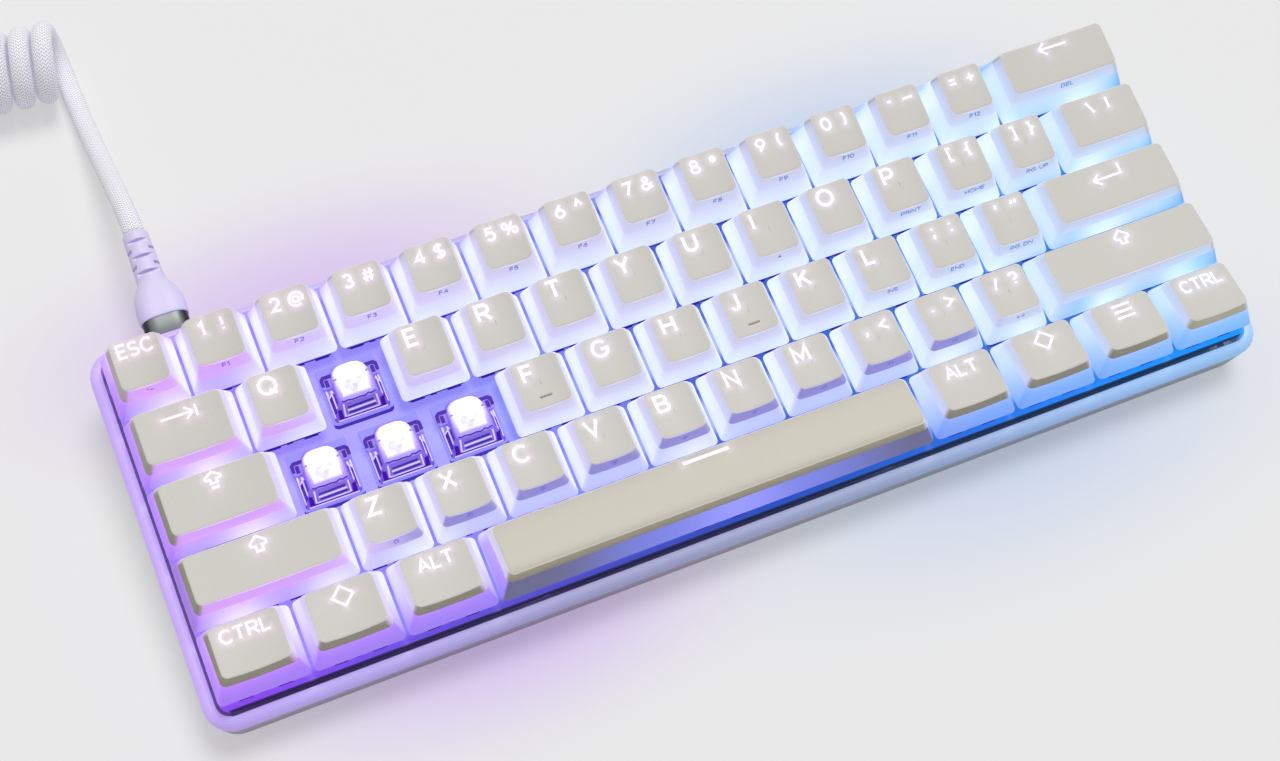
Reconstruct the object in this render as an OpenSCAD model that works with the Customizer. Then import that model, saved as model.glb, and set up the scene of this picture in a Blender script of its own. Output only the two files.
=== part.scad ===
// Compact mechanical keyboard: sixty-one keys in five rows on an open metal plate, four of
// them without caps, in a shallow tray with a curly braided lead at the rear left.
// Millimetres. Origin at the middle of the footprint on the table, +X right, +Y rear, +Z up.

/* [Key field] */
// Distance between the centres of two neighbouring keys
key_pitch = 19.05; // [19:0.05:19.2]
// Slope of the key field in degrees, rear side up
typing_angle = 5; // [4:0.5:6]
// Height of the plate top over the table at the middle of the key field
plate_height = 20.5; // [20:0.1:22]
// Way a key goes down
key_travel = 3.6; // [3:0.1:3.6]

/* [Keycaps] */
// Free gap between the skirts of two caps
cap_gap = 0.95; // [0.8:0.05:1.2]
// Wall of a cap skirt
cap_wall = 1.15; // [0.9:0.05:1.2]
// Skirt edge over the plate with the key up
skirt_height = 4.1; // [4.1:0.1:4.5]
// Depth of the dish in a cap top
dish_depth = 0.6; // [0.3:0.1:0.7]

/* [Case] */
// Width of the rim beside the left and the right end of the plate
rim_width = 3.15; // [2.5:0.05:4]
// Distance from the rear edge of the plate to the rear side of the tray
rear_wall = 2.8; // [2.6:0.1:3.4]
// Rim below the plate top
rim_drop = 1.6; // [1:0.1:2]
// Gap between the plate edge and the rim
edge_gap = 0.85; // [0.5:0.05:1]
// Thickness of the switch plate
plate_thickness = 1.5; // [1.2:0.1:1.5]
// Rounding of the rim's outer edge
rim_radius = 1.6; // [0.8:0.1:2]

/* [Lead] */
// Diameter of the braided cord
cord_diameter = 5.6; // [5:0.1:5.8]
// Outside diameter of the curly part
coil_diameter = 22.7; // [22:0.1:24]
// Distance from one curl to the next
coil_pitch = 6.35; // [6.3:0.05:7]
// Number of curls
coil_turns = 16; // [8:1:16]

/* [Hidden] */

// Widths of the keys of each row in key pitches, from the rear row to the front row
function ones(n) = [for (i = [1:n]) 1];
row_widths = [
  concat(ones(13), [2]),
  concat([1.5], ones(12), [1.5]),
  concat([1.75], ones(11), [2.25]),
  concat([2.25], ones(10), [2.75]),
  [1.25, 1.25, 1.25, 6.25, 1.25, 1.25, 1.25, 1.25]
];
space_row = 4;

// Height of the front and the rear edge of the cap tops over the plate, row by row
top_front_height = [13.5, 12.4, 12.3, 13.2, 13.6];
top_rear_height = [15.1, 13.5, 12.7, 12.0, 11.6];
// Distance of those edges from the front and the rear of the key's square, row by row
top_front_inset = [4.3, 3.3, 3.4, 3.8, 4.1];
top_rear_inset = [2.5, 2.5, 2.5, 2.2, 1.7];
top_side_inset = 3.45;
// Length of the raised bar on the two homing keys
homing_bar = 3.6;

// Names of the pieces that hold the keys, in the order of the row widths
function times(n, text) = [for (i = [1:n]) text];
function is_bare(letter) = len(search(letter, "wasd")) > 0;
function letter_node(letter) = str(is_bare(letter) ? "stem_" : "key_", letter);
function letter_nodes(letters) = [for (letter = letters) letter_node(letter)];
key_nodes = [
  concat(["key_esc"], times(12, "keys_number_row"), ["key_backspace"]),
  concat(["key_tab"], letter_nodes("qwertyuiop"), times(3, "keys_punctuation")),
  concat(["key_caps"], letter_nodes("asdfghjkl"), times(2, "keys_punctuation"), ["key_enter"]),
  concat(["key_shift_left"], letter_nodes("zxcvbnm"), times(3, "keys_punctuation"), ["key_shift_right"]),
  concat(["key_ctrl_left", "key_super_left", "key_alt_left", "key_space"],
         times(4, "keys_right_modifiers"))
];
function is_first(row, i) =
  i == 0 || (key_nodes[row][i] != key_nodes[row][i - 1]
             && (key_nodes[row][i] != "keys_punctuation" || row == 1));
KEY_NAMES = [for (row = [0:4]) for (i = [0:len(key_nodes[row]) - 1]) if (is_first(row, i)) key_nodes[row][i]];

// Keys with a balance wire: name of the wire, row and place in the row
WIRES = [
  ["wire_backspace", 0, 13],
  ["wire_enter", 2, 12],
  ["wire_shift_left", 3, 0],
  ["wire_shift_right", 3, 11],
  ["wire_space", 4, 3]
];
WIRE_NAMES = [for (wire = WIRES) wire[0]];

// Key places on the plate
function sum_before(list, i, at = 0) = at >= i ? 0 : list[at] + sum_before(list, i, at + 1);
function key_width(row, i) = row_widths[row][i];
function key_x(row, i) = (sum_before(row_widths[row], i) + key_width(row, i) / 2 - 7.5) * key_pitch;
function row_y(row) = (2 - row) * key_pitch;

// Plate edges in the plate's own plane, measured from the edges of the key field
plate_side_inset = 0.375;
plate_front_margin = 0.375;
plate_rear_margin = 1.275;
plate_half_length = 7.5 * key_pitch - plate_side_inset;
plate_front = -2.5 * key_pitch - plate_front_margin;
plate_rear = 2.5 * key_pitch + plate_rear_margin;
plate_corner = 3;

// Levels below or above the plate top
board_top = -5;
board_thickness = 1.6;
board_length = 2 * plate_half_length - 4;
board_depth = plate_rear - plate_front - 2.9;
post_bottom = -9;
well_bottom = -10.6;
screw_seat = -13;
flange_top = 0.9;
switch_top = 6.2;
cap_roof = 10.1;
cross_top = 9.9;

// Sizes of the switches
base_width = 13.8;
hole_play = 0.1;
hole_width = base_width + 2 * hole_play;
flange_reach = 0.8;
flange_width = base_width + 2 * flange_reach;
cover_setback = 0.2;
cover_width = flange_width - 2 * cover_setback;
cover_wall = 1;
stem_width = 6.6;
stem_depth = 5.8;
stem_play = 0.4;
spring_diameter = 4.4;
spring_wall = 0.4;
well_floor = -3.8;
cross_length = 4.05;
cross_width = 1.2;
cross_play = 0.08;
post_diameter = 5.4;

// Free play all round a pin or a wire that turns in its bearing
running_play = 0.1;

// Balance wires
wire_diameter = 1.3;
arm_diameter = 1.2;
wire_y = -base_width / 2 - wire_diameter;
wire_z = -2.6;
wire_end_y = -1.6;
arm_reach = wire_end_y - wire_y;
arm_length = arm_reach + arm_diameter / 2;
wire_angle = asin(key_travel / 2 / arm_reach);

// Guides beside the long keys, with the plunger that goes up and down in each
plunger_width = 4.4;
plunger_depth = 5;
guide_play = 0.2;
guide_width = 6.6;
guide_depth = 11.8;
guide_flange = 8.2;
guide_top = switch_top - key_travel - 0.2;
guide_gap = 0.1;
space_reach = 50;
function wire_reach(width) =
  width > 6 ? space_reach : width >= 2 ? (flange_width + guide_flange) / 2 + guide_gap : 0;

// Screws, with the threaded posts that fit between two rows of switches
screw_diameter = 2;
post_wall = 0.6;
post_width = screw_diameter + 2 * post_wall;
screw_head = 2 * screw_diameter;
screw_spacing = 90;
screw_spots = [
  for (x = [-screw_spacing, 0, screw_spacing]) for (rows = [0.5, 3.5]) [x, (2 - rows) * key_pitch]
];

// Tray
case_length = 2 * (plate_half_length + edge_gap + rim_width);
case_depth = 2 * (plate_rear * cos(typing_angle) + rear_wall);
case_corner = 7;
base_level = 1.2;
floor_level = 3.6;
slope = tan(typing_angle);
rim_level = plate_height - rim_drop / cos(typing_angle);

// Folding feet and rubber pads, placed from the edges of the tray
foot_width = 21;
foot_length = 17.5;
foot_thickness = 2.5;
foot_pin = 2.5;
foot_play = 0.4;
foot_x = case_length / 2 - 34.5;
foot_hinge_y = case_depth / 2 - 8.5;
foot_hinge_z = 3.4;
pad_length = 26;
pad_depth = 7;
pad_thickness = 1.7;
pad_play = 0.15;
front_pad_x = case_length / 2 - 24.5;
front_pad_y = 9.5 - case_depth / 2;
rear_pad_x = foot_x - 34;
rear_pad_y = case_depth / 2 - 10;
pad_spots = [
  [-front_pad_x, front_pad_y],
  [front_pad_x, front_pad_y],
  [-rear_pad_x, rear_pad_y],
  [rear_pad_x, rear_pad_y]
];

// Lead
plug_x = -6.5 * key_pitch;
plug_z = -8.25;
plug_start = plate_rear + 2.3;
collar_length = 6.1;
bulb_length = 11;
sleeve_length = 15;
sleeve_radius = 3.6;
sleeve_core = 2.3;
sleeve_slots = 5;
slot_start = 1.7;
slot_pitch = 2.35;
slot_width = 1;
collar_end = plug_start + collar_length;
bulb_end = collar_end + bulb_length;
plug_end = bulb_end + sleeve_length;
coil_radius = (coil_diameter - cord_diameter) / 2;
coil_turn_angle = 5;
coil_start = [-126.8, 150, coil_diameter / 2 + 0.2];
coil_heading = [-cos(coil_turn_angle), sin(coil_turn_angle), 0];
coil_far = [sin(coil_turn_angle), cos(coil_turn_angle), 0];
rings_per_turn = 12;
tube_sides = 6;

white = "#e9e8ea";
plate_silver = "#c9c9d2";
board_green = "#2e6a4a";
clear_grey = "#dcdcf0";
cap_grey = "#cfccc3";
steel = "#b9bcc0";
rubber = "#3a3a3c";
braid_white = "#ececf0";
$fn = 48;

// Closed ring of points: a rectangle with round corners, rising to the rear by the given slope
function corner_ring(w, d, r, y0, z, rise, n) = [
  for (corner = [0:3]) for (i = [0:n])
    let (a = 90 * corner + 90 * i / n)
    let (x = (corner == 0 || corner == 3 ? 1 : -1) * (w / 2 - r) + r * cos(a))
    let (y = (corner < 2 ? 1 : -1) * (d / 2 - r) + r * sin(a))
    [x, y0 + y, z + y * rise]
];
function box_ring(w, d, y0, z) = [
  [w / 2, y0 + d / 2, z],
  [-w / 2, y0 + d / 2, z],
  [-w / 2, y0 - d / 2, z],
  [w / 2, y0 - d / 2, z]
];
function flat(points) = [for (p = points) [p[0], p[1]]];

// Solid through a list of rings with equal point counts
module loft(rings) {
  n = len(rings[0]);
  last = len(rings) - 1;
  side_a = [for (k = [0:last - 1]) for (j = [0:n - 1])
    [k * n + j, (k + 1) * n + j, (k + 1) * n + (j + 1) % n]];
  side_b = [for (k = [0:last - 1]) for (j = [0:n - 1])
    [k * n + j, (k + 1) * n + (j + 1) % n, k * n + (j + 1) % n]];
  low_end = [for (j = [0:n - 1]) j];
  high_end = [for (j = [0:n - 1]) last * n + n - 1 - j];
  polyhedron(points = [for (ring = rings) for (p = ring) p],
             faces = concat([low_end], side_a, side_b, [high_end]), convexity = 8);
}

module block(w, d, h, x = 0, y = 0, z = 0) {
  translate([x - w / 2, y - d / 2, z]) cube([w, d, h]);
}

// Puts its children into the sloped frame of the plate top
module on_plate() {
  translate([0, 0, plate_height]) rotate([typing_angle, 0, 0]) children();
}
function plate_point(p) = [
  p[0],
  p[1] * cos(typing_angle) - p[2] * sin(typing_angle),
  plate_height + p[1] * sin(typing_angle) + p[2] * cos(typing_angle)
];

module at_key(row, i) {
  translate([key_x(row, i), row_y(row), 0]) children();
}
module at_every_key() {
  for (row = [0:4]) for (i = [0:len(row_widths[row]) - 1]) at_key(row, i) children();
}
module at_every_stabilizer() {
  for (wire = WIRES) at_key(wire[1], wire[2])
    for (side = [-1, 1])
      translate([side * wire_reach(key_width(wire[1], wire[2])), 0, 0])
        mirror([side > 0 ? 1 : 0, 0, 0]) children();
}

// Cross that a cap sits on
module cross(play = 0) {
  h = cross_top - switch_top;
  block(cross_length + 2 * play, cross_width + 2 * play, h + play, z = switch_top);
  block(cross_width + 2 * play, cross_length + 2 * play, h + play, z = switch_top);
}

// Moving plunger of a switch
module stem() {
  difference() {
    union() {
      block(stem_width, stem_depth, switch_top - 1.5, z = 1.5);
      block(stem_width + 2, stem_depth + 1.8, 1.2, z = 3.8);
      cross();
    }
    translate([0, 0, 1]) cylinder(d = spring_diameter + stem_play, h = 3.2);
  }
}

// Moving plunger of a balance wire, with a slot for the wire's end
module wire_plunger() {
  difference() {
    union() {
      block(plunger_width, plunger_depth, switch_top - wire_z, z = wire_z);
      cross();
    }
    block(2, 2.2, 2.4, y = wire_end_y + 0.1, z = wire_z + 0.6);
  }
}

// Cap of a key: sloped sides, dished top, hollow with sockets for the crosses
module cap(row, i) {
  w = key_width(row, i) * key_pitch;
  base_w = w - cap_gap;
  base_d = key_pitch - cap_gap;
  top_w = w - 2 * top_side_inset;
  top_d = key_pitch - top_front_inset[row] - top_rear_inset[row];
  top_y = (top_front_inset[row] - top_rear_inset[row]) / 2;
  top_z = (top_front_height[row] + top_rear_height[row]) / 2;
  rise = (top_rear_height[row] - top_front_height[row]) / top_d;
  dished = row != space_row || key_width(row, i) < 6;
  lift = dished ? 0.1 : 0;
  dish_radius = (top_w * top_w / 4 + dish_depth * dish_depth) / 2 / dish_depth;
  reach = wire_reach(key_width(row, i));
  spots = reach > 0 ? [-reach, 0, reach] : [0];
  difference() {
    loft([
      corner_ring(base_w, base_d, 1.3, 0, skirt_height, 0, 3),
      corner_ring(top_w, top_d, 1.5, top_y, top_z + lift, rise, 3)
    ]);
    if (dished)
      translate([0, top_y, top_z]) rotate([atan(rise), 0, 0])
        translate([0, 0, dish_radius - dish_depth]) rotate([90, 0, 0])
          cylinder(r = dish_radius, h = 40, center = true, $fn = 720);
    difference() {
      loft([
        box_ring(base_w - 2 * cap_wall + 0.06, base_d - 2 * cap_wall + 0.06, 0, skirt_height - 0.1),
        box_ring(base_w - 2 * cap_wall - 4.5, 10.9, 0.1, cap_roof)
      ]);
      for (x = spots) translate([x, 0, switch_top + cross_play]) cylinder(d = post_diameter, h = 6);
    }
    for (x = spots) translate([x, 0, 0]) cross(cross_play);
  }
  if (key_nodes[row][i] == "key_f" || key_nodes[row][i] == "key_j")
    translate([0, top_y - 3.7, top_z]) rotate([atan(rise), 0, 0]) translate([0, 0, -dish_depth - 0.4])
      block(homing_bar, 0.5, 0.7);
}

// Every key that belongs to one piece, with its plungers
module key_set(name) {
  bare = search("s", name)[0] == 0;
  for (row = [0:4]) for (i = [0:len(row_widths[row]) - 1])
    if (key_nodes[row][i] == name) {
      reach = wire_reach(key_width(row, i));
      on_plate() at_key(row, i) {
        if (!bare) color(cap_grey) cap(row, i);
        color(white) stem();
        if (reach > 0) color(white) for (x = [-reach, reach]) translate([x, 0, 0]) wire_plunger();
      }
    }
}

// Outside of the tray: round lower edge, walls that lean outwards, round sloping rim
base_radius = 1.6;
wall_lean = 1.8;
function case_ring(inset, z, rise) =
  corner_ring(case_length - 2 * inset, case_depth - 2 * inset, case_corner - inset / 2, 0, z, rise, 6);
module case_outline() {
  loft(concat(
    [for (a = [0:30:90])
      case_ring(wall_lean + base_radius * (1 - sin(a)), base_level + base_radius * (1 - cos(a)), 0)],
    [for (a = [0:22.5:90])
      case_ring(rim_radius * (1 - cos(a)), rim_level - rim_radius * (1 - sin(a)), slope)]
  ));
}
module plate_outline(grow, rear_grow) {
  depth = plate_rear - plate_front + grow + rear_grow;
  middle = (plate_rear + rear_grow + plate_front - grow) / 2;
  polygon(flat(corner_ring(2 * (plate_half_length + grow), depth, plate_corner + grow, middle, 0, 0, 6)));
}
module case_hollow() {
  difference() {
    union() {
      on_plate() translate([0, 0, well_bottom]) linear_extrude(30) plate_outline(edge_gap, 0.4);
      translate([-board_length / 2, plate_front + 2.5, floor_level])
        cube([board_length, board_depth - 2, plate_height - floor_level - 3.5]);
    }
    on_plate() for (spot = screw_spots) translate([spot[0], spot[1], -40])
      cylinder(d = screw_head + 3.6, h = 40 + post_bottom);
    for (side = [-1, 1])
      block(foot_width + 6, foot_length + 12.5, 6, x = side * foot_x, y = foot_hinge_y - 7.5, z = 1);
  }
}
module bottom_case() {
  color(white) difference() {
    case_outline();
    case_hollow();
    on_plate() for (spot = screw_spots) translate([spot[0], spot[1], 0]) {
      translate([0, 0, -40]) cylinder(d = screw_diameter + 0.5, h = 40);
      translate([0, 0, -40]) cylinder(d = screw_head + 0.8, h = 40 + screw_seat);
    }
    on_plate() block(10.4, 10, 4.4, x = plug_x, y = plug_start + 0.1, z = plug_z - 2.2);
    for (side = [-1, 1]) {
      translate([side * foot_x, foot_hinge_y - 8.4, -0.6])
        block(foot_width + 2 * foot_play, foot_length + 5.7, 6);
      translate([side * foot_x, foot_hinge_y, foot_hinge_z]) rotate([0, 90, 0])
        cylinder(d = foot_pin + 2 * running_play, h = foot_width + 4.2, center = true);
    }
    for (spot = pad_spots) translate([spot[0], spot[1], pad_thickness - 2])
      block(pad_length + 2 * pad_play, pad_depth + 2 * pad_play, 2);
  }
}

// Plate with the switch holes, the stabilizer holes and six threaded posts
module switch_plate() {
  color(plate_silver) on_plate() {
    difference() {
      translate([0, 0, -plate_thickness]) linear_extrude(plate_thickness) plate_outline(0, 0);
      at_every_key() block(hole_width, hole_width, 10, z = -5);
      at_every_stabilizer() block(guide_width + 0.3, guide_depth + 1.5, 10, y = -0.55, z = -5);
    }
    for (spot = screw_spots) translate([spot[0], spot[1], post_bottom]) difference() {
      cylinder(d = post_width, h = -post_bottom - plate_thickness);
      translate([0, 0, -1]) cylinder(d = screw_diameter + 0.2, h = 7);
    }
  }
}

// Board under the switches with one light per key, the controller and the socket
module circuit_board() {
  color(board_green) on_plate() {
    difference() {
      translate([-board_length / 2, plate_front + 1.5, board_top - board_thickness])
        cube([board_length, board_depth, board_thickness]);
      for (spot = screw_spots) translate([spot[0], spot[1], -12]) cylinder(d = post_width + 0.8, h = 12);
      at_every_stabilizer() block(plunger_width + 2, plunger_depth + 5.4, 10, y = -1, z = -12);
    }
    at_every_key() block(3.2, 1.4, 1, y = 6, z = board_top);
    block(10, 10, 1.2, x = 20, y = 9.5, z = board_top - board_thickness - 1.2);
    difference() {
      block(9.4, 7.6, 3.4, x = plug_x, y = plug_start - 5.9, z = plug_z - 1.75);
      block(8.8, 7.6, 2.9, x = plug_x, y = plug_start - 4.9, z = plug_z - 1.45);
    }
    block(6.6, 6, 0.7, x = plug_x, y = plug_start - 6.4, z = plug_z - 0.35);
  }
}

// Lower halves of the switches
module switch_base() {
  difference() {
    union() {
      block(base_width, base_width, -board_top, z = board_top);
      block(flange_width, flange_width, flange_top, z = 0);
    }
    block(base_width - 2.8, base_width - 2.8, 10, z = well_floor);
    block(4.4, 4, 1.7, y = base_width / 2 + 0.1, z = board_top - 0.1);
  }
  translate([0, 0, well_floor]) cylinder(d = spring_diameter - 2 * spring_wall - 1, h = 2.6);
}
module switch_bases() {
  color(white) on_plate() at_every_key() switch_base();
}

// Clear upper halves; the four bare ones show their ears, rails and clip slots
module switch_cover(detailed) {
  edge = cover_width / 2;
  top_width = stem_width + 4;
  top_depth = stem_depth + 4;
  difference() {
    union() {
      loft([
        box_ring(cover_width, cover_width, 0, flange_top),
        box_ring(top_width, top_depth, 0.3, switch_top)
      ]);
      if (detailed) for (side = [-1, 1]) {
        block(2.8, 1.3, 2.2, x = side * (edge - 1.3), y = edge - 0.6, z = flange_top);
        block(1.2, 3.4, 2.2, x = side * (edge - 0.5), y = edge - 1.6, z = flange_top);
        block(0.9, 9, 1.6, x = side * (edge - 0.6), y = -0.8, z = flange_top);
        block(1, 5.4, 1, x = side * (top_width / 2 - 0.55), y = 0.3, z = switch_top - 0.5);
      }
    }
    loft([
      box_ring(cover_width - 2 * cover_wall, cover_width - 2 * cover_wall, 0, flange_top - 0.05),
      box_ring(top_width - 1.4, top_depth - 1.4, 0.3, switch_top - cover_wall)
    ]);
    block(stem_width + 2 * stem_play, stem_depth + 2 * stem_play, 8, z = 3);
    if (detailed) {
      for (side = [-1, 1]) block(1.3, 2.8, 8, x = side * (edge - 1.6), y = 2.3 - edge, z = flange_top + 0.6);
      block(6.4, 1.6, 2.4, y = 1.3 - edge, z = 2.2);
    }
  }
}
module switch_tops() {
  color(clear_grey) on_plate()
    for (row = [0:4]) for (i = [0:len(row_widths[row]) - 1])
      at_key(row, i) switch_cover(search("s", key_nodes[row][i])[0] == 0);
}

// Return springs, drawn as plain sleeves because they are out of sight
module switch_springs() {
  color(steel) on_plate() at_every_key() translate([0, 0, well_floor]) difference() {
    cylinder(d = spring_diameter, h = 8);
    translate([0, 0, -1]) cylinder(d = spring_diameter - 2 * spring_wall, h = 10);
  }
}

// Guides of the balance wires, clipped into the plate beside the long keys
module stabilizer_housing() {
  clip_front = wire_y - 1.3;
  clip_rear = 0.4 - guide_depth / 2;
  difference() {
    union() {
      block(guide_width, guide_depth, guide_top + 2 - wire_z, y = -0.1, z = wire_z - 2);
      block(guide_flange, guide_depth + 2, 0.8, y = -0.5);
      translate([guide_width / 2 - 0.9, (clip_rear + clip_front) / 2, wire_z - 1.3])
        block(1.8, clip_rear - clip_front, 2.3);
    }
    block(plunger_width + 2 * guide_play, plunger_depth + 2 * guide_play, 20, z = -10);
    block(2.2, 8, 6.2, y = -5, z = wire_z - 2.4);
    translate([0, wire_y, wire_z]) rotate([0, 90, 0])
      cylinder(d = wire_diameter + 2 * running_play, h = 3 * guide_width, center = true);
  }
}
module stabilizer_housings() {
  color(white) on_plate() at_every_stabilizer() stabilizer_housing();
}

// Balance wire of a long key, with its ends in the plungers
module balance_wire(row, i) {
  reach = wire_reach(key_width(row, i));
  color(steel) on_plate() at_key(row, i) translate([0, wire_y, wire_z]) {
    rotate([0, 90, 0]) cylinder(d = wire_diameter, h = 2 * reach + wire_diameter, center = true);
    for (x = [-reach, reach]) translate([x, 0, 0]) rotate([wire_angle - 90, 0, 0])
      cylinder(d = arm_diameter, h = arm_length);
  }
}

// Screws from below that hold the plate to the tray
module case_screws() {
  color(steel) on_plate() for (spot = screw_spots) translate([spot[0], spot[1], screw_seat]) {
    cylinder(d = screw_diameter, h = 9.5);
    difference() {
      translate([0, 0, -1.6]) cylinder(d = screw_head, h = 1.6);
      translate([0, 0, -2]) cylinder(d = screw_head / 2, h = 1.2, $fn = 6);
    }
  }
}

module rubber_feet() {
  color(rubber) for (spot = pad_spots) block(pad_length, pad_depth, pad_thickness, x = spot[0], y = spot[1]);
}

// Folding foot with its two pins
module tilt_foot(side) {
  color(white) translate([side * foot_x, foot_hinge_y, foot_hinge_z]) {
    rotate([0, 90, 0]) cylinder(d = foot_pin + 0.9, h = foot_width, center = true);
    rotate([0, 90, 0]) cylinder(d = foot_pin, h = foot_width + 3.4, center = true);
    block(foot_width, foot_length, foot_thickness, y = -foot_length / 2, z = 1 - foot_thickness);
  }
}

// Plug in the rear port: metal tongue, dark collar, moulded bulb and ribbed sleeve
module device_plug() {
  color(white) on_plate() translate([plug_x, 0, plug_z]) {
    difference() {
      block(8.4, 6.9, 2.5, y = plug_start - 3.3, z = -1.25);
      block(7.6, 6, 1.7, y = plug_start - 4.4, z = -0.85);
    }
    translate([0, plug_start, 0]) rotate([-90, 0, 0]) loft([
      corner_ring(12, 7.4, 3.2, 0, 0, 0, 4),
      corner_ring(12, 7.4, 3.2, 0, collar_length, 0, 4)
    ]);
    translate([0, collar_end, 0]) rotate([-90, 0, 0]) loft([
      corner_ring(12.6, 8, 3.6, 0, 0, 0, 4),
      corner_ring(13, 8.6, 4, 0, 3.5, 0, 4),
      corner_ring(12, 8.6, 4.2, 0, 7, 0, 4),
      corner_ring(9, 8, 3.9, 0, 10, 0, 4),
      corner_ring(7.8, 7.8, 3.85, 0, bulb_length, 0, 4)
    ]);
    translate([0, bulb_end, 0]) rotate([-90, 0, 0]) difference() {
      rotate_extrude() polygon([
        [0, 0],
        [sleeve_radius + 0.3, 0],
        [sleeve_radius + 0.1, 2],
        [sleeve_radius - 0.2, sleeve_length - 0.6],
        [sleeve_radius - 0.6, sleeve_length],
        [0, sleeve_length]
      ]);
      for (k = [0:sleeve_slots - 1]) translate([0, 0, slot_start + k * slot_pitch])
        rotate([0, 0, 90 * (k + 1)])
          for (side = [-1, 1]) block(4, 7, slot_width, x = side * (sleeve_core + 2));
    }
  }
}

// Cord as a tube through computed points
function unit(v) = v / norm(v);
function tube_ring(p, t, ref, r) =
  let (n1 = unit(cross(t, ref)))
  let (n2 = cross(t, n1))
  [for (k = [0:tube_sides - 1]) p + r * (cos(360 * k / tube_sides) * n1 + sin(360 * k / tube_sides) * n2)];
function tangent(points, k) =
  unit(points[min(k + 1, len(points) - 1)] - points[max(k - 1, 0)]);
module tube(points, ref, r) {
  loft([for (k = [0:len(points) - 1]) tube_ring(points[k], tangent(points, k), ref, r)]);
}
tube_radius = cord_diameter / 2 * 1.05;

function coil_point(t) =
  coil_start + coil_heading * coil_pitch * t
  + coil_radius * (cos(360 * t - 90) * coil_far + sin(360 * t - 90) * [0, 0, 1]);
coil_entry = unit(coil_far * 2 * PI * coil_radius + coil_heading * coil_pitch);
coil_low = coil_point(0);
coil_last = coil_point(coil_turns);
lead_end = coil_low - coil_entry * cord_diameter;
lead_start = plate_point([plug_x, plug_end + 0.05, plug_z]);
lead_first = lead_start + 14 * [0, cos(typing_angle), sin(typing_angle)];
lead_second = lead_end - 26 * coil_entry;
function lead_point(s) =
  pow(1 - s, 3) * lead_start + 3 * s * pow(1 - s, 2) * lead_first
  + 3 * s * s * (1 - s) * lead_second + pow(s, 3) * lead_end;
lead_points = [for (k = [0:12]) lead_point(k / 12)];

// The tail runs on from the last curl and rises to the connector's axis
tail_length = 20;
connector_height = 7.7;
function tail_point(s) =
  coil_last + coil_entry * (cord_diameter + tail_length * s)
  + [0, 0, (connector_height - coil_last[2]) * (3 * s * s - 2 * s * s * s)];
coil_points = concat(
  [lead_end],
  [for (k = [0:coil_turns * rings_per_turn]) coil_point(k / rings_per_turn)],
  [for (k = [0:5]) tail_point(k / 5)]);
cord_tail = tail_point(1);

// Least free gap between two passes of the curly cord, over points most of a curl apart
apart = floor(rings_per_turn * 0.6);
coil_gap = min([for (a = [0:len(coil_points) - 1 - apart]) for (b = [a + apart:len(coil_points) - 1])
  norm(coil_points[a] - coil_points[b])]) - cord_diameter;
echo(least_coil_gap = coil_gap);

module cord_lead() {
  color(braid_white) tube(lead_points, [1, 0, 0], tube_radius);
}
module cord_curl() {
  color(braid_white) tube(coil_points, coil_heading, tube_radius);
}

// Round metal connector where the curly part ends
module cord_end() {
  color(steel) translate(cord_tail) rotate([0, 0, -coil_turn_angle + atan(coil_pitch / 2 / PI / coil_radius)])
    rotate([-90, 0, 0]) {
      cylinder(d = 8, h = 9);
      translate([0, 0, 9]) cylinder(d = 12, h = 12);
      translate([0, 0, 21]) cylinder(d = 15, h = 9);
      translate([0, 0, 30]) difference() {
        cylinder(d = 13, h = 9);
        translate([0, 0, 5.5]) cylinder(d = 11, h = 9);
      }
    }
}

bottom_case();
switch_plate();
circuit_board();
switch_bases();
switch_tops();
switch_springs();
stabilizer_housings();
case_screws();
rubber_feet();
tilt_foot(-1);  // tilt_foot_left
tilt_foot(1);  // tilt_foot_right
device_plug();
cord_lead();
cord_curl();
cord_end();
for (wire = WIRES) balance_wire(wire[1], wire[2]);
for (name = KEY_NAMES) key_set(name);
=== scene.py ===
"""Looks of a compact lit mechanical keyboard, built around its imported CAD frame."""

import math

import bpy
from mathutils import Euler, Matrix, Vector


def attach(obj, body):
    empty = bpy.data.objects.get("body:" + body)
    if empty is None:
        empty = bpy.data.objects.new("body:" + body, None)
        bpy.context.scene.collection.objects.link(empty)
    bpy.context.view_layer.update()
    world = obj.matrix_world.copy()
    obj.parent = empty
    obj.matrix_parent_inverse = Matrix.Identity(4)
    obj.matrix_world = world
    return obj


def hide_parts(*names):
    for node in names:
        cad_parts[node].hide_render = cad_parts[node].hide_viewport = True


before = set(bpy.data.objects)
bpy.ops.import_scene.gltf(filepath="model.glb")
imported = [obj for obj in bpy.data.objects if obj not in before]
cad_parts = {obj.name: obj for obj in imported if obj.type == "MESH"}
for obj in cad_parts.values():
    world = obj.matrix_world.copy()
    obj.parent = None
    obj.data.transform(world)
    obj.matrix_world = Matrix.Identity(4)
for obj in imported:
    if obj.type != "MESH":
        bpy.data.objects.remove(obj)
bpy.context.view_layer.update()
scene = bpy.context.scene

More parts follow.
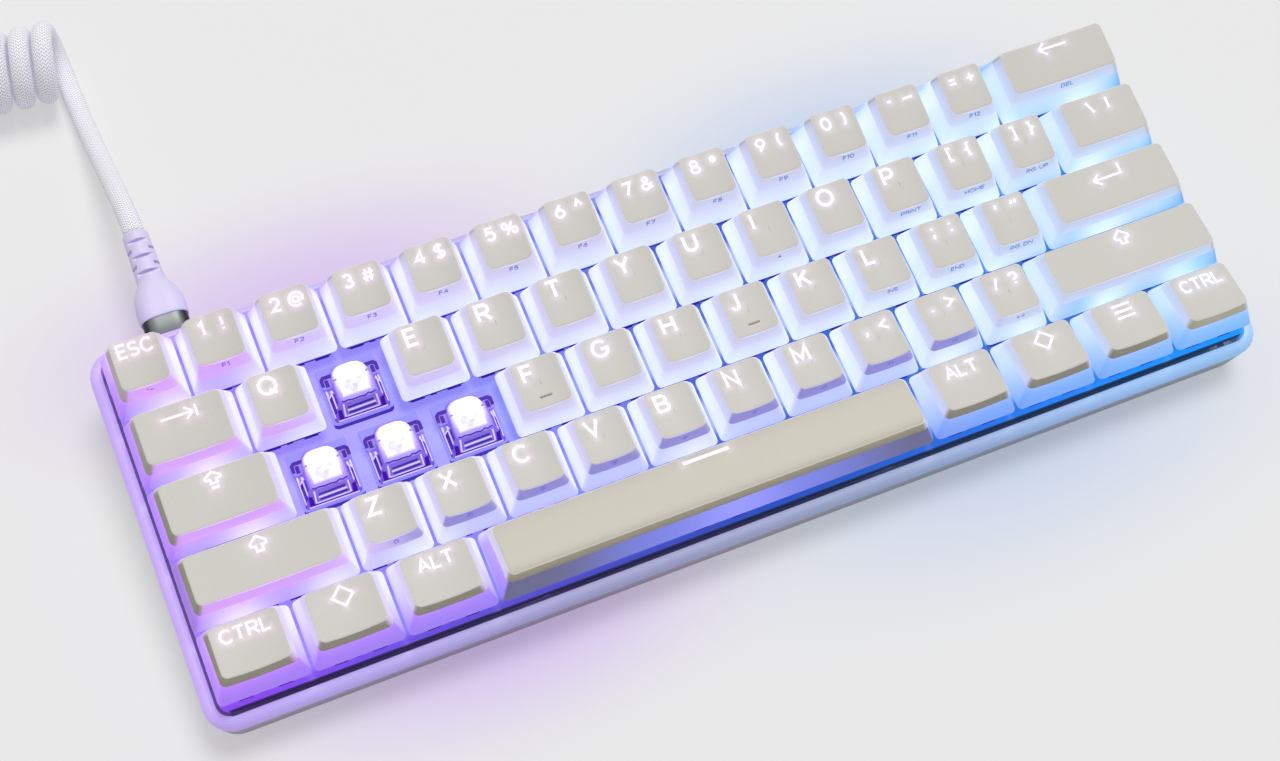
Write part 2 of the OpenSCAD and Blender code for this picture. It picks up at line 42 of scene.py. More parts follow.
# Sizes in millimetres, as in the part's source
MM = 0.001
PITCH = 19.05
TILT = math.radians(5)
PLATE_Z = 20.5
CAP_GAP = 0.95
CAP_WALL = 1.15
SKIRT_Z = 4.1
DISH = 0.6
CROWN = 0.8
FLARE = 0.15
CAP_ROOF = 10.1
SIDE_INSET = 3.45
ROW_WIDTHS = [
    [1] * 13 + [2],
    [1.5] + [1] * 12 + [1.5],
    [1.75] + [1] * 11 + [2.25],
    [2.25] + [1] * 10 + [2.75],
    [1.25, 1.25, 1.25, 6.25, 1.25, 1.25, 1.25, 1.25],
]
TOP_FRONT_Z = [13.5, 12.4, 12.3, 13.2, 13.6]
TOP_REAR_Z = [15.1, 13.5, 12.7, 12.0, 11.6]
TOP_FRONT_INSET = [4.3, 3.3, 3.4, 3.8, 4.1]
TOP_REAR_INSET = [2.5, 2.5, 2.5, 2.2, 1.7]
BANDS = [3.4, 3.3, 3.2, 3.2, 2.7]
TOP_CORNER = 1.5
FOOT_CORNER = 1.3
ROOF_TAPER = 4.5
ROOF_DEPTH = 10.9
HOUSING_TOP = 6.2
LED_Y = 5.0
FIELD_HALF_X, FIELD_HALF_Y = 7.5 * PITCH, 2.5 * PITCH

# Reach of a key lamp's light, and half the length over which its colour changes
LED_REACH_X, LED_REACH_Y = 7.5, 5.5
TINT_HALF = 143
NO_LIGHT = (0.0, 0.0, 0.0)

# Legends of each row from left to right; words in capitals with an underscore are signs
LEGENDS = [
    ["ESC"] + ["1!", "2@", "3#", "4$", "5%", "6^", "7&", "8*", "9(", "0)", "-_", "=+"] + ["_BACK"],
    ["_TAB"] + list("QWERTYUIOP") + ["[{", "]}", "\\|"],
    ["_CAPS"] + list("ASDFGHJKL") + [";:", "'\"", "_ENTER"],
    ["_SHIFT"] + list("ZXCVBNM") + [",<", ".>", "/?", "_SHIFT"],
    ["CTRL", "_SUPER", "ALT", "_SPACE", "ALT", "_SUPER", "_MENU", "CTRL"],
]
FRONTS = [
    ["`~"] + [f"F{n}" for n in range(1, 13)] + ["DEL"],
    [""] * 8 + ["_UP", "", "PRINT", "HOME", "PG UP", ""],
    [""] * 9 + ["INS", "END", "PG DN", ""],
    ["", "_RING", "_DOT"] + ["_SUN"] * 2 + ["_MUTE"] * 2 + ["_BACKWARD"] * 2 + ["_FORWARD", "_PLAY", ""],
    [""] * 8,
]
NUMBER_ROW = set(range(1, 13))
PUNCTUATION = {"[{", "]}", "\\|", ";:", "'\"", ",<", ".>", "/?"}
WORD_NODES = {
    "ESC": "key_esc", "_BACK": "key_backspace", "_TAB": "key_tab", "_CAPS": "key_caps",
    "_ENTER": "key_enter", "_SPACE": "key_space",
}


def node_of(row, i):
    """CAD node that holds a key."""
    mark = LEGENDS[row][i]
    if row == 0 and i in NUMBER_ROW:
        return "keys_number_row"
    if mark in PUNCTUATION:
        return "keys_punctuation"
    if mark in WORD_NODES:
        return WORD_NODES[mark]
    if mark == "_SHIFT":
        return "key_shift_left" if i == 0 else "key_shift_right"
    if row == 4:
        return ["key_ctrl_left", "key_super_left", "key_alt_left"][i] if i < 3 else "keys_right_modifiers"
    return ("stem_" if mark in "WASD" else "key_") + mark.lower()


def key_place(row, i):
    left = sum(ROW_WIDTHS[row][:i])
    return (left + ROW_WIDTHS[row][i] / 2 - 7.5) * PITCH, (2 - row) * PITCH


KEYS = [(row, i) for row in range(5) for i in range(len(ROW_WIDTHS[row]))]
LEDS = [(key_place(row, i)[0], key_place(row, i)[1] + LED_Y) for row, i in KEYS]


def plate_point(x, y, z):
    """Point given in the plate's sloped frame, in millimetres, as a point of the row frame in metres."""
    c, s = math.cos(TILT), math.sin(TILT)
    return Vector((x, y * c - z * s, PLATE_Z + y * s + z * c)) * MM


# Light of the key lamps along the keyboard: place in millimetres and colour
HUES = [
    (-150, (0.42, 0.17, 1.0)),
    (-70, (0.34, 0.21, 1.0)),
    (0, (0.25, 0.28, 1.0)),
    (70, (0.14, 0.38, 1.0)),
    (150, (0.06, 0.44, 1.0)),
]


def blend(first, second, share):
    return Vector(first).lerp(Vector(second), share)


def hue(x):
    x = min(max(x, HUES[0][0]), HUES[-1][0])
    for (x0, c0), (x1, c1) in zip(HUES, HUES[1:]):
        if x <= x1:
            return blend(c0, c1, (x - x0) / (x1 - x0))


def smooth(x, low, high):
    """Soft step from 0 at low to 1 at high."""
    t = min(1.0, max(0.0, (x - low) / (high - low)))
    return t * t * (3 - 2 * t)


def rightward(x):
    """0 at the left end of the key field, 1 at its right end."""
    return (x + TINT_HALF) / (2 * TINT_HALF)


def facing(x, y, out):
    """1 for a wall that looks at other keys, 0 for one that looks out of the key field."""
    a, b = x + 8 * out.x, y + 8 * out.y
    return smooth(FIELD_HALF_X - abs(a), -2, 6) * smooth(FIELD_HALF_Y - abs(b), -2, 6)


def lamp_level(x, y):
    """How much of the key lamps' light a place on the plate gets."""
    return sum(math.exp(-((x - a) / LED_REACH_X) ** 2 - ((y - b) / LED_REACH_Y) ** 2) for a, b in LEDS)


def add_object(name, data):
    thing = bpy.data.objects.new(name, data)
    scene.collection.objects.link(thing)
    return thing


class Build:
    """Collects vertices, faces, materials and glow colours of one piece."""

    def __init__(self):
        self.points, self.faces, self.slots, self.glow = [], [], [], []

    def add(self, points, faces, slot, glow=NO_LIGHT):
        start = len(self.points)
        self.points += [Vector(p) for p in points]
        self.faces += [[start + k for k in face] for face in faces]
        self.slots += [slot] * len(faces)
        self.glow += [glow] * len(points)

    def rings(self, rings, slots, glows=NO_LIGHT, ends=(True, True), loop=False):
        """Skin over rings of equal length, with one slot or one per ring, and one glow or one per point."""
        n, count = len(rings[0]), len(rings)
        if isinstance(slots, int):
            slots = [slots] * count
        if isinstance(glows, tuple):
            glows = [[glows] * n] * count
        start = len(self.points)
        for ring, glow in zip(rings, glows):
            self.points += [Vector(p) for p in ring]
            self.glow += glow
        for k in range(count if loop else count - 1):
            a, b = start + k * n, start + (k + 1) % count * n
            self.faces += [[a + j, a + (j + 1) % n, b + (j + 1) % n, b + j] for j in range(n)]
            self.slots += [slots[k]] * n
        if ends[0]:
            self.faces.append([start + n - 1 - j for j in range(n)])
            self.slots.append(slots[0])
        if ends[1]:
            self.faces.append([start + (count - 1) * n + j for j in range(n)])
            self.slots.append(slots[-1])
        return start

    def block(self, size, centre, slot, glow=NO_LIGHT, bevel=0.1):
        """Box on its middle point, with its upright and its upper edges cut by bevel."""
        w, d, h = size
        x, y, z = centre
        b = min(bevel, w / 4, d / 4, h / 4)
        rings = []
        for level, inset in ((-h / 2, 0.0), (h / 2 - b, 0.0), (h / 2, b)):
            u, v = w / 2 - inset, d / 2 - inset
            flat = [(u, b - v), (u, v - b), (u - b, v), (b - u, v)]
            flat += [(-p, -q) for p, q in flat]
            rings.append([(x + p, y + q, z + level) for p, q in flat])
        self.rings(rings, slot, glow)

    def piece(self, name, shades, crease=0.6):
        mesh = bpy.data.meshes.new(name)
        mesh.from_pydata([plate_point(*p) for p in self.points], [], self.faces)
        mesh.polygons.foreach_set("material_index", self.slots)
        for shade in shades:
            mesh.materials.append(shade.material)
        layer = mesh.attributes.new("glow", "FLOAT_COLOR", "POINT")
        layer.data.foreach_set("color", [v for g in self.glow for v in (*g, 1.0)])
        mesh.polygons.foreach_set("use_smooth", [True] * len(mesh.polygons))
        mesh.set_sharp_from_angle(angle=crease)
        mesh.validate()
        return add_object(name, mesh)


# Materials

LOOKS = {
    "base": "Base Color", "rough": "Roughness", "metal": "Metallic", "shine": "Specular IOR Level",
    "glow": "Emission Color", "power": "Emission Strength", "sheen": "Sheen Weight", "normal": "Normal",
}


class Shade:
    """A material and its nodes. Each method adds nodes and gives the socket of their result."""

    def __init__(self, name):
        self.material = bpy.data.materials.new(name)
        self.material.use_nodes = True
        self.nodes = self.material.node_tree.nodes
        self.shader = self.nodes["Principled BSDF"]

    def put(self, socket, value):
        """Gives an input a number, a colour, a vector or another node's result."""
        if isinstance(value, bpy.types.NodeSocket):
            self.material.node_tree.links.new(value, socket)
        elif socket.type == "RGBA":
            socket.default_value = (*value, 1)
        else:
            socket.default_value = value

    def set(self, **looks):
        for name, value in looks.items():
            self.put(self.shader.inputs[LOOKS[name]], value)

    def add(self, kind, result, inputs, **settings):
        node = self.nodes.new(kind)
        for name, value in settings.items():
            setattr(node, name, value)
        for name, value in inputs.items():
            self.put(node.inputs[name], value)
        return node.outputs[result]

    def math(self, operation, *values, **settings):
        return self.add("ShaderNodeMath", 0, dict(enumerate(values)), operation=operation, **settings)

    def plus(self, first, second):
        return self.math("ADD", first, second)

    def minus(self, first, second):
        return self.math("SUBTRACT", first, second)

    def times(self, first, second):
        return self.math("MULTIPLY", first, second)

    def span(self, value, low, high, start=0.0, end=1.0):
        """Soft change from one value to another between two levels of a socket."""
        inputs = {"Value": value, "From Min": low, "From Max": high, "To Min": start, "To Max": end}
        return self.add("ShaderNodeMapRange", "Result", inputs, interpolation_type="SMOOTHSTEP")

    def mix(self, factor, first, second):
        """Blend of two colours or colour sockets."""
        inputs = {"Factor": factor, "A": first, "B": second}
        return self.add("ShaderNodeMix", "Result", inputs, data_type="RGBA")

    def place(self, kind="ShaderNodeTexCoord", result="Object", **settings):
        """X, Y and Z of a place, in metres."""
        split = self.nodes.new("ShaderNodeSeparateXYZ")
        self.put(split.inputs["Vector"], self.add(kind, result, {}, **settings))
        return tuple(split.outputs)

    def relief(self, height, strength, distance=0.0001):
        inputs = {"Strength": strength, "Distance": distance, "Height": height}
        self.set(normal=self.add("ShaderNodeBump", "Normal", inputs))

    def grain(self, scale, strength):
        """Fine moulded grain in the shader's normal."""
        spot = self.add("ShaderNodeTexCoord", "Object", {})
        noise = self.add("ShaderNodeTexNoise", "Fac", {"Vector": spot, "Scale": scale, "Detail": 3})
        self.relief(noise, strength)
        return noise

    def lamp_hue(self, along, hues):
        """Colour of the key lamps by the place along the keyboard."""
        first, last = hues[0][0], hues[-1][0]
        inputs = {"Value": along, "From Min": first * MM, "From Max": last * MM}
        ramp = self.nodes.new("ShaderNodeValToRGB")
        self.put(ramp.inputs["Fac"], self.add("ShaderNodeMapRange", "Result", inputs))
        stops = ramp.color_ramp.elements
        for k, (x, colour) in enumerate(hues):
            at = (x - first) / (last - first)
            stop = stops[0] if k == 0 else stops[-1] if k == len(hues) - 1 else stops.new(at)
            stop.position = at
            stop.color = (*colour, 1)
        return ramp.outputs["Color"]


def plain(name, dark, light, rough, grain=900, bump=0.15, **looks):
    """Material whose base colour changes slightly with its grain."""
    shade = Shade(name)
    shade.base = shade.mix(shade.grain(grain, bump), dark, light)
    shade.set(base=shade.base, rough=rough, **looks)
    return shade


def glowing(name, dark, light, rough, grain=900, bump=0.1, **looks):
    """Plastic that gives the light stored on its vertices."""
    shade = plain(name, dark, light, rough, grain, bump, power=1.0, **looks)
    shade.set(glow=shade.add("ShaderNodeAttribute", "Color", {}, attribute_name="glow"))
    return shade


def lit(name, dark, light, rough, power, grain=900, bump=0.2, hues=HUES, **looks):
    """Plastic or metal lit by the key lamps, with their colour along the keyboard."""
    shade = plain(name, dark, light, rough, grain, bump, power=power, **looks)
    shade.lamps = shade.lamp_hue(shade.place()[0], hues)
    shade.set(glow=shade.lamps)
    return shade


CAP_SHADES = [
    glowing("cap_shell", (0.586, 0.565, 0.525), (0.645, 0.624, 0.582), 0.55, 2200, 0.25),
    glowing("cap_skirt", (0.07, 0.06, 0.12), (0.11, 0.10, 0.16), 0.45),
    glowing("legend_light", (0.60, 0.56, 0.62), (0.66, 0.62, 0.68), 0.5),
    glowing("front_print", (0.03, 0.03, 0.10), (0.05, 0.05, 0.14), 0.6),
    glowing("plunger_white", (0.80, 0.80, 0.84), (0.90, 0.90, 0.93), 0.4),
    # Darker copy of the shell plastic for its sides and the homing bars: painted shade.
    glowing("cap_shell_shaded", (0.37, 0.34, 0.265), (0.42, 0.39, 0.31), 0.6, 2200, 0.25),
    glowing("space_shell", (0.580, 0.550, 0.470), (0.638, 0.606, 0.520), 0.55, 2200, 0.25),
]
IN_SHELL, IN_SKIRT, IN_LEGEND, IN_PRINT, IN_PLUNGER, IN_SHADED_SHELL, IN_WIDE = range(7)


# Caps


def rounded_ring(width, depth, radius, y0, nx, ny, nc, rear_radius=None):
    """Points (x, y) and outward directions of a rectangle with round corners."""
    rear = radius if rear_radius is None else rear_radius
    corners = [(1, 1, rear), (-1, 1, rear), (-1, -1, radius), (1, -1, radius)]
    points, normals = [], []
    for k, (sx, sy, r) in enumerate(corners):
        cx, cy = sx * (width / 2 - r), y0 + sy * (depth / 2 - r)
        for j in range(nc + 1):
            a = math.radians(90 * k + 90 * j / nc)
            points.append((cx + r * math.cos(a), cy + r * math.sin(a)))
            normals.append(Vector((math.cos(a), math.sin(a), 0)))
        x, y = points[-1]
        sx, sy, r = corners[(k + 1) % 4]
        level = k % 2 == 0
        count = nx if level else ny
        run = sx * (width / 2 - r) - x if level else y0 + sy * (depth / 2 - r) - y
        for m in range(1, count):
            points.append((x + run * m / count, y) if level else (x, y + run * m / count))
            normals.append(normals[-1])
    return points, normals


class Cap:
    """Shape of one cap in its own frame: middle of the key on the plate top, millimetres."""

    def __init__(self, row, i):
        self.row, self.i = row, i
        self.x, self.y = key_place(row, i)
        self.w = ROW_WIDTHS[row][i] * PITCH
        self.top_w = self.w - 2 * SIDE_INSET
        self.top_d = PITCH - TOP_FRONT_INSET[row] - TOP_REAR_INSET[row]
        self.top_y = (TOP_FRONT_INSET[row] - TOP_REAR_INSET[row]) / 2
        self.mid_z = (TOP_FRONT_Z[row] + TOP_REAR_Z[row]) / 2
        self.rise = (TOP_REAR_Z[row] - TOP_FRONT_Z[row]) / self.top_d
        self.wide = self.w > 6 * PITCH

    def plane(self, y):
        return self.mid_z + self.rise * (y - self.top_y)

    def top(self, x, y):
        """Height of the dished top, or of the space bar's crowned one."""
        if self.wide:
            return self.plane(y) - CROWN * (2 * (y - self.top_y) / self.top_d) ** 4
        return self.plane(y) - DISH * (1 - min(1.0, (2 * x / self.top_w) ** 2))

    def front(self, x, down, out=0.0):
        """Point on the front wall, a distance below the top's front edge."""
        high = Vector((x, self.top_y - self.top_d / 2, TOP_FRONT_Z[self.row]))
        low = Vector((x, -(PITCH - CAP_GAP) / 2, SKIRT_Z))
        along = (low - high).normalized()
        normal = Vector((0, along.z, -along.y))
        return high + along * down + normal * out


SPACE_X = key_place(4, 3)[0]
FRONT_ROW_Y = -2 * PITCH - 6
FRONT_ROW_LEDS = [key_place(4, i)[0] for i in range(len(ROW_WIDTHS[4]))]


def by_space(x):
    """Whether a place lies along the space bar."""
    return abs(x - SPACE_X) < 3.1 * PITCH


def edge_share(x):
    """0 at the left end of the key field, 1 away from it."""
    return smooth(x, -126, -84)


def shaded_front(x, y, out):
    """1 on front walls of the fourth row where no lamp of the front row is near."""
    band = smooth(y, -34, -30) * (1 - smooth(y, -21, -18))
    near = sum(math.exp(-((x - a) / 10) ** 2) for a in FRONT_ROW_LEDS)
    return max(0.0, -out.y) * band * max(0.0, 1 - near)


def lamp_distance(x, y):
    """Way along the row to its nearest lamp."""
    return min(abs(x - a) for a, b in LEDS if abs(y - b + LED_Y) < PITCH / 2 + 0.5)


def end_shade(x, y, out):
    """Darker outer ends of long caps, whose lamps are far away."""
    return 1 - 0.42 * abs(out.x) * smooth(lamp_distance(x, y), 16, 21)


def skirt_glow(x, y, out, share):
    """Light that a skirt gives at a place; share is 0 at its lower edge and 1 at the shell."""
    if y < FRONT_ROW_Y and out.y < -0.5 and by_space(x):
        return space_front_glow(x)
    level = lamp_level(x, y)
    fronting = max(0.0, -out.y)
    leftward = max(0.0, -out.x)
    across = rightward(x)
    rim = 1 - edge_share(x)
    right = smooth(x, 40, 120)
    white = facing(x, y, out) * (1 - 0.75 * fronting * rim)
    white *= 1 - (0.12 + 0.28 * fronting) * smooth(x, 45, 132)
    white *= 0.3 + 0.7 * smooth(y, -47, -33)
    white *= 1 - leftward * (1 - smooth(y, -33, -28)) * (0.85 if by_space(x) else 0.3)
    low = blend((0.84, 0.89, 0.98), (0.70, 0.90, 1.0), across)
    high = blend((0.73, 0.65, 0.96), (0.59, 0.73, 0.98), across)
    inner = low.lerp(high, share)
    calm = 1 - 0.12 * fronting * (1 - smooth(x, 30, 90))
    inner = Vector((inner.x * calm, inner.y * calm, inner.z))
    dusk = blend((0.46, 0.44, 0.96), (0.42, 0.56, 0.96), across)
    inner = inner.lerp(dusk, 0.95 * shaded_front(x, y, out))
    outer = hue(x) * (0.74 + 0.28 * share) + Vector((0.12, 0.02, 0.05)) * share ** 6
    outer += Vector((0.11, 0.06, 0)) * smooth(x, 60, 130)
    outer *= end_shade(x, y, out)
    spot = (0.62 + 0.7 * right + 0.85 * rim * fronting) * level ** 1.2 * (1 - 0.75 * white)
    if y < FRONT_ROW_Y and fronting > 0.5:
        dim = 0.91 + 0.09 * smooth(x, -70, 80)
        outer = Vector((outer.x * dim, outer.y * dim ** 1.5, outer.z * dim ** 0.7))
    light = outer.lerp(inner, white)
    coloured = (1 - share) ** 2 * max(0.0, 1 - 1.5 * level) * (0.20 + 0.25 * smooth(x, 30, 125))
    coloured = max(coloured, 0.5 * leftward * (1 - share) ** 3 * (1 - smooth(x, -70, 70)))
    light = light.lerp(hue(x) * 0.92, coloured) + Vector((1, 1, 1)) * spot
    # Less painted light on fronts at the right that are far from their lamps.
    far_dimming = fronting * smooth(x, 60, 95) * smooth(lamp_distance(x, y), 9, 20)
    return light * Vector((1 - 0.40 * far_dimming, 1 - 0.16 * far_dimming, 1 - 0.05 * far_dimming))


def space_front_glow(x):
    """Front of the space bar: white by its one lamp, blue around it and grey at the ends."""
    away = abs(x - SPACE_X - 4)
    light = Vector((0.068, 0.072, 0.165)) + Vector((0.048, 0.076, 0.47)) * (1 - smooth(away, 20, 52))
    return light + Vector((0.125, 0.10, 0.26)) * math.exp(-(away / 13) ** 2)


def shell_glow(x, y, out, share):
    """Light that the side of a cap's opaque shell catches; share is 0 at the skirt and 1 at the top."""
    across = rightward(x)
    low = blend((0.46, 0.40, 0.70), (0.34, 0.47, 0.72), across)
    high = blend((0.40, 0.33, 0.60), (0.30, 0.39, 0.61), across)
    light = low.lerp(high, share)
    if out.y < -0.5:
        violet = Vector((0.43, 0.16 + 0.20 * smooth(x, -118, -88), 0.74))
        light = violet.lerp(light, smooth(x, -80, -45))
        band = smooth(y, -34, -30) * (1 - smooth(y, -19, -15))
        band *= smooth(x, -100, -80) * (1 - smooth(x, 64, 78))
        light = light.lerp(Vector((0.06, 0.05, 0.45)), band)
    strength = max(facing(x, y, out), 0.75 * smooth(out.y, 0.1, 0.7), 0.75 * smooth(out.x, 0.1, 0.7))
    # Painted light on shell sides that look out of the key field: rising along the space bar's band, at the
    # right end, and on left-facing walls near the left end.
    outward_light = Vector((0.08, 0.07, 0.045)) * share * by_space(x)
    outward_light += Vector((0.13, 0.13, 0.10)) * smooth(x, 105, 130)
    outward_light += Vector((0.14, 0.11, 0.17)) * smooth(-out.x, 0.1, 0.7) * (1 - edge_share(x)) * smooth(y, 0, 38)
    return light * strength + outward_light * (1 - strength)


def hollow_glow(x, y, out):
    return hue(x) * 0.5


def add_cap(build, cap, halo):
    """Cap with a frosted skirt, an opaque shell over it and a hollow inside."""
    nx, ny, nc = max(9, round(cap.top_w / 1.3)), 9, 4
    base_w, base_d = cap.w - CAP_GAP, PITCH - CAP_GAP

    def ring(width, depth, radius, y0=0):
        return rounded_ring(width, depth, radius, y0, nx, ny, nc)

    base, out = ring(base_w + 2 * FLARE, base_d + 2 * FLARE, FOOT_CORNER)
    edge, _ = ring(cap.top_w, cap.top_d, TOP_CORNER, cap.top_y)
    inside, _ = ring(base_w - 2 * CAP_WALL, base_d - 2 * CAP_WALL, 0.1)
    roof, _ = ring(base_w - 2 * CAP_WALL - ROOF_TAPER, ROOF_DEPTH, 0.4, 0.1)
    n = len(base)
    low = [Vector((*p, SKIRT_Z)) for p in base]
    full = [Vector((*p, cap.plane(p[1]))) for p in edge]
    high = []
    for a, b in zip(low, full):
        drop = b.z - cap.top(b.x, b.y)
        high.append(a.lerp(b, 1 - drop / (b.z - SKIRT_Z)))
    seam = [1 - BANDS[cap.row] / (p.z - SKIRT_Z) for p in full]
    rings, slots, glows = [], [], []

    def put(points, slot, glow, *share):
        rings.append([(p.x + cap.x, p.y + cap.y, p.z) for p in points])
        slots.append(slot)
        glows.append([tuple(glow(p.x + cap.x, p.y + cap.y, o, *share)) for p, o in zip(points, out)])

    def wall(share, push=0.0, shell=False):
        """Ring of the outer wall, from its foot to the seam or, for the shell, from there to the top."""
        ends = [(s, 1) if shell else (0.02, s) for s in seam]
        return [a.lerp(b, u + (v - u) * share) + o * push for a, b, (u, v), o in zip(low, high, ends, out)]

    put([Vector((*p, CAP_ROOF)) for p in roof], IN_SKIRT, hollow_glow)
    put([Vector((*p, SKIRT_Z)) for p in inside], IN_SKIRT, hollow_glow)
    put([p - o * FLARE for p, o in zip(low, out)], IN_SKIRT, skirt_glow, 0)
    for step in range(6):
        put(wall(step / 5), IN_SKIRT, skirt_glow, step / 5)
    slots[-1] = IN_SHADED_SHELL
    for share, push in ((0.0, 0.12), (0.05, 0.15), (0.5, 0.08), (0.95, 0.0)):
        put(wall(share, push, True), IN_SHADED_SHELL, shell_glow, share)
    top_slot = IN_WIDE if cap.wide else IN_SHELL
    slots[-1] = top_slot
    rim, step = 0.05, 0.75
    insets = [rim, 0.17] + [step * k for k in range(1, 20) if cap.top_d - 2 * step * k > 0.5]
    for inset in insets:
        flat, _ = ring(cap.top_w - 2 * inset, cap.top_d - 2 * inset, max(TOP_CORNER - inset, 0.12), cap.top_y)
        drop = 0.03 if inset == rim else 0.0
        put([Vector((*p, cap.top(*p) - drop)) for p in flat], top_slot, halo)
    start = build.rings(rings, slots, glows, (True, False))
    last = start + (len(rings) - 1) * n
    first, end = 1, 2 * nc + nx - 1

    def opposite(k):
        return (n - ny - k) % n

    closing = [[k, k + 1, opposite(k + 1), opposite(k)] for k in range(first, end)]
    closing.append(list(range(end, opposite(end) + 1)))
    closing.append(list(range(opposite(first), n)) + [0, first])
    build.faces += [[last + k for k in face] for face in closing]
    build.slots += [top_slot] * len(closing)


# Sections of a plunger from its bore up: width, depth and height
PLUNGER_RINGS = [
    (4.8, 4.8, 4.2), (4.8, 4.8, 1.5), (6.6, 5.8, 1.5), (6.6, 5.8, 3.8), (8.6, 7.6, 3.8), (8.6, 7.6, 5.0),
    (6.6, 5.8, 5.0), (6.6, 5.8, HOUSING_TOP),
]
WIRE_PLUNGER_LOW = -2.6
SPACE_WIRE_REACH, WIRE_REACH = 50, 11.9
CROSS_WIDTH, CROSS_BAR, CROSS_TALL, CROSS_MIDDLE = 4.05, 1.2, 3.7, 8.05


def add_cross(build, x, y, glow):
    for w, d in ((CROSS_WIDTH, CROSS_BAR), (CROSS_BAR, CROSS_WIDTH)):
        build.block((w, d, CROSS_TALL), (x, y, CROSS_MIDDLE), IN_PLUNGER, glow, 0.15)


def add_plunger(build, cap, glow):
    """Plunger with a bore for its spring, and those of the balance wire under a long cap."""
    rings = []
    for w, d, z in PLUNGER_RINGS:
        flat, _ = rounded_ring(w, d, 1.9 if w == d else 0.4, 0, 2, 2, 3)
        rings.append([(cap.x + p[0], cap.y + p[1], z) for p in flat])
    build.rings(rings, IN_PLUNGER, glow)
    add_cross(build, cap.x, cap.y, glow)
    reach = SPACE_WIRE_REACH if cap.wide else WIRE_REACH if cap.w >= 2 * PITCH else 0
    for x in (cap.x - reach, cap.x + reach) if reach else ():
        add_wire_plunger(build, x, cap.y, glow)


def add_wire_plunger(build, x, y, glow):
    """Block with a slot in its front for the end of the balance wire."""
    tall = HOUSING_TOP - WIRE_PLUNGER_LOW
    middle = (HOUSING_TOP + WIRE_PLUNGER_LOW) / 2
    front = y - 1.45
    for size, place in (
        ((4.4, 2.9, tall), (x, y + 1.05, middle)),
        ((1.2, 2.1, tall), (x - 1.6, front, middle)),
        ((1.2, 2.1, tall), (x + 1.6, front, middle)),
        ((2, 2.1, 5.8), (x, front, 3.3)),
        ((2, 2.1, 0.6), (x, front, -2.3)),
    ):
        build.block(size, place, IN_PLUNGER, glow)
    add_cross(build, x, y, glow)


# Legends


def arc(x, y, rx, ry, start, end, n=8):
    """Points of a part of an ellipse, angles in degrees."""
    turns = [math.radians(start + (end - start) * k / n) for k in range(int(n) + 1)]
    return [(x + rx * math.cos(a), y + ry * math.sin(a)) for a in turns]


def lines_of(drawing):
    """Lines of a drawing. Its words are points x,y or arcs @x,y,rx,ry,start,end,steps or ovals ox,y,rx,ry."""
    lines = []
    for part in filter(None, drawing.split("|")):
        lines.append([])
        for word in part.split():
            values = [float(v) for v in word.lstrip("@o").split(",")]
            if word[0] == "o":
                values += [90, 450, 16]
            lines[-1] += [tuple(values)] if len(values) == 2 else arc(*values)
    return lines


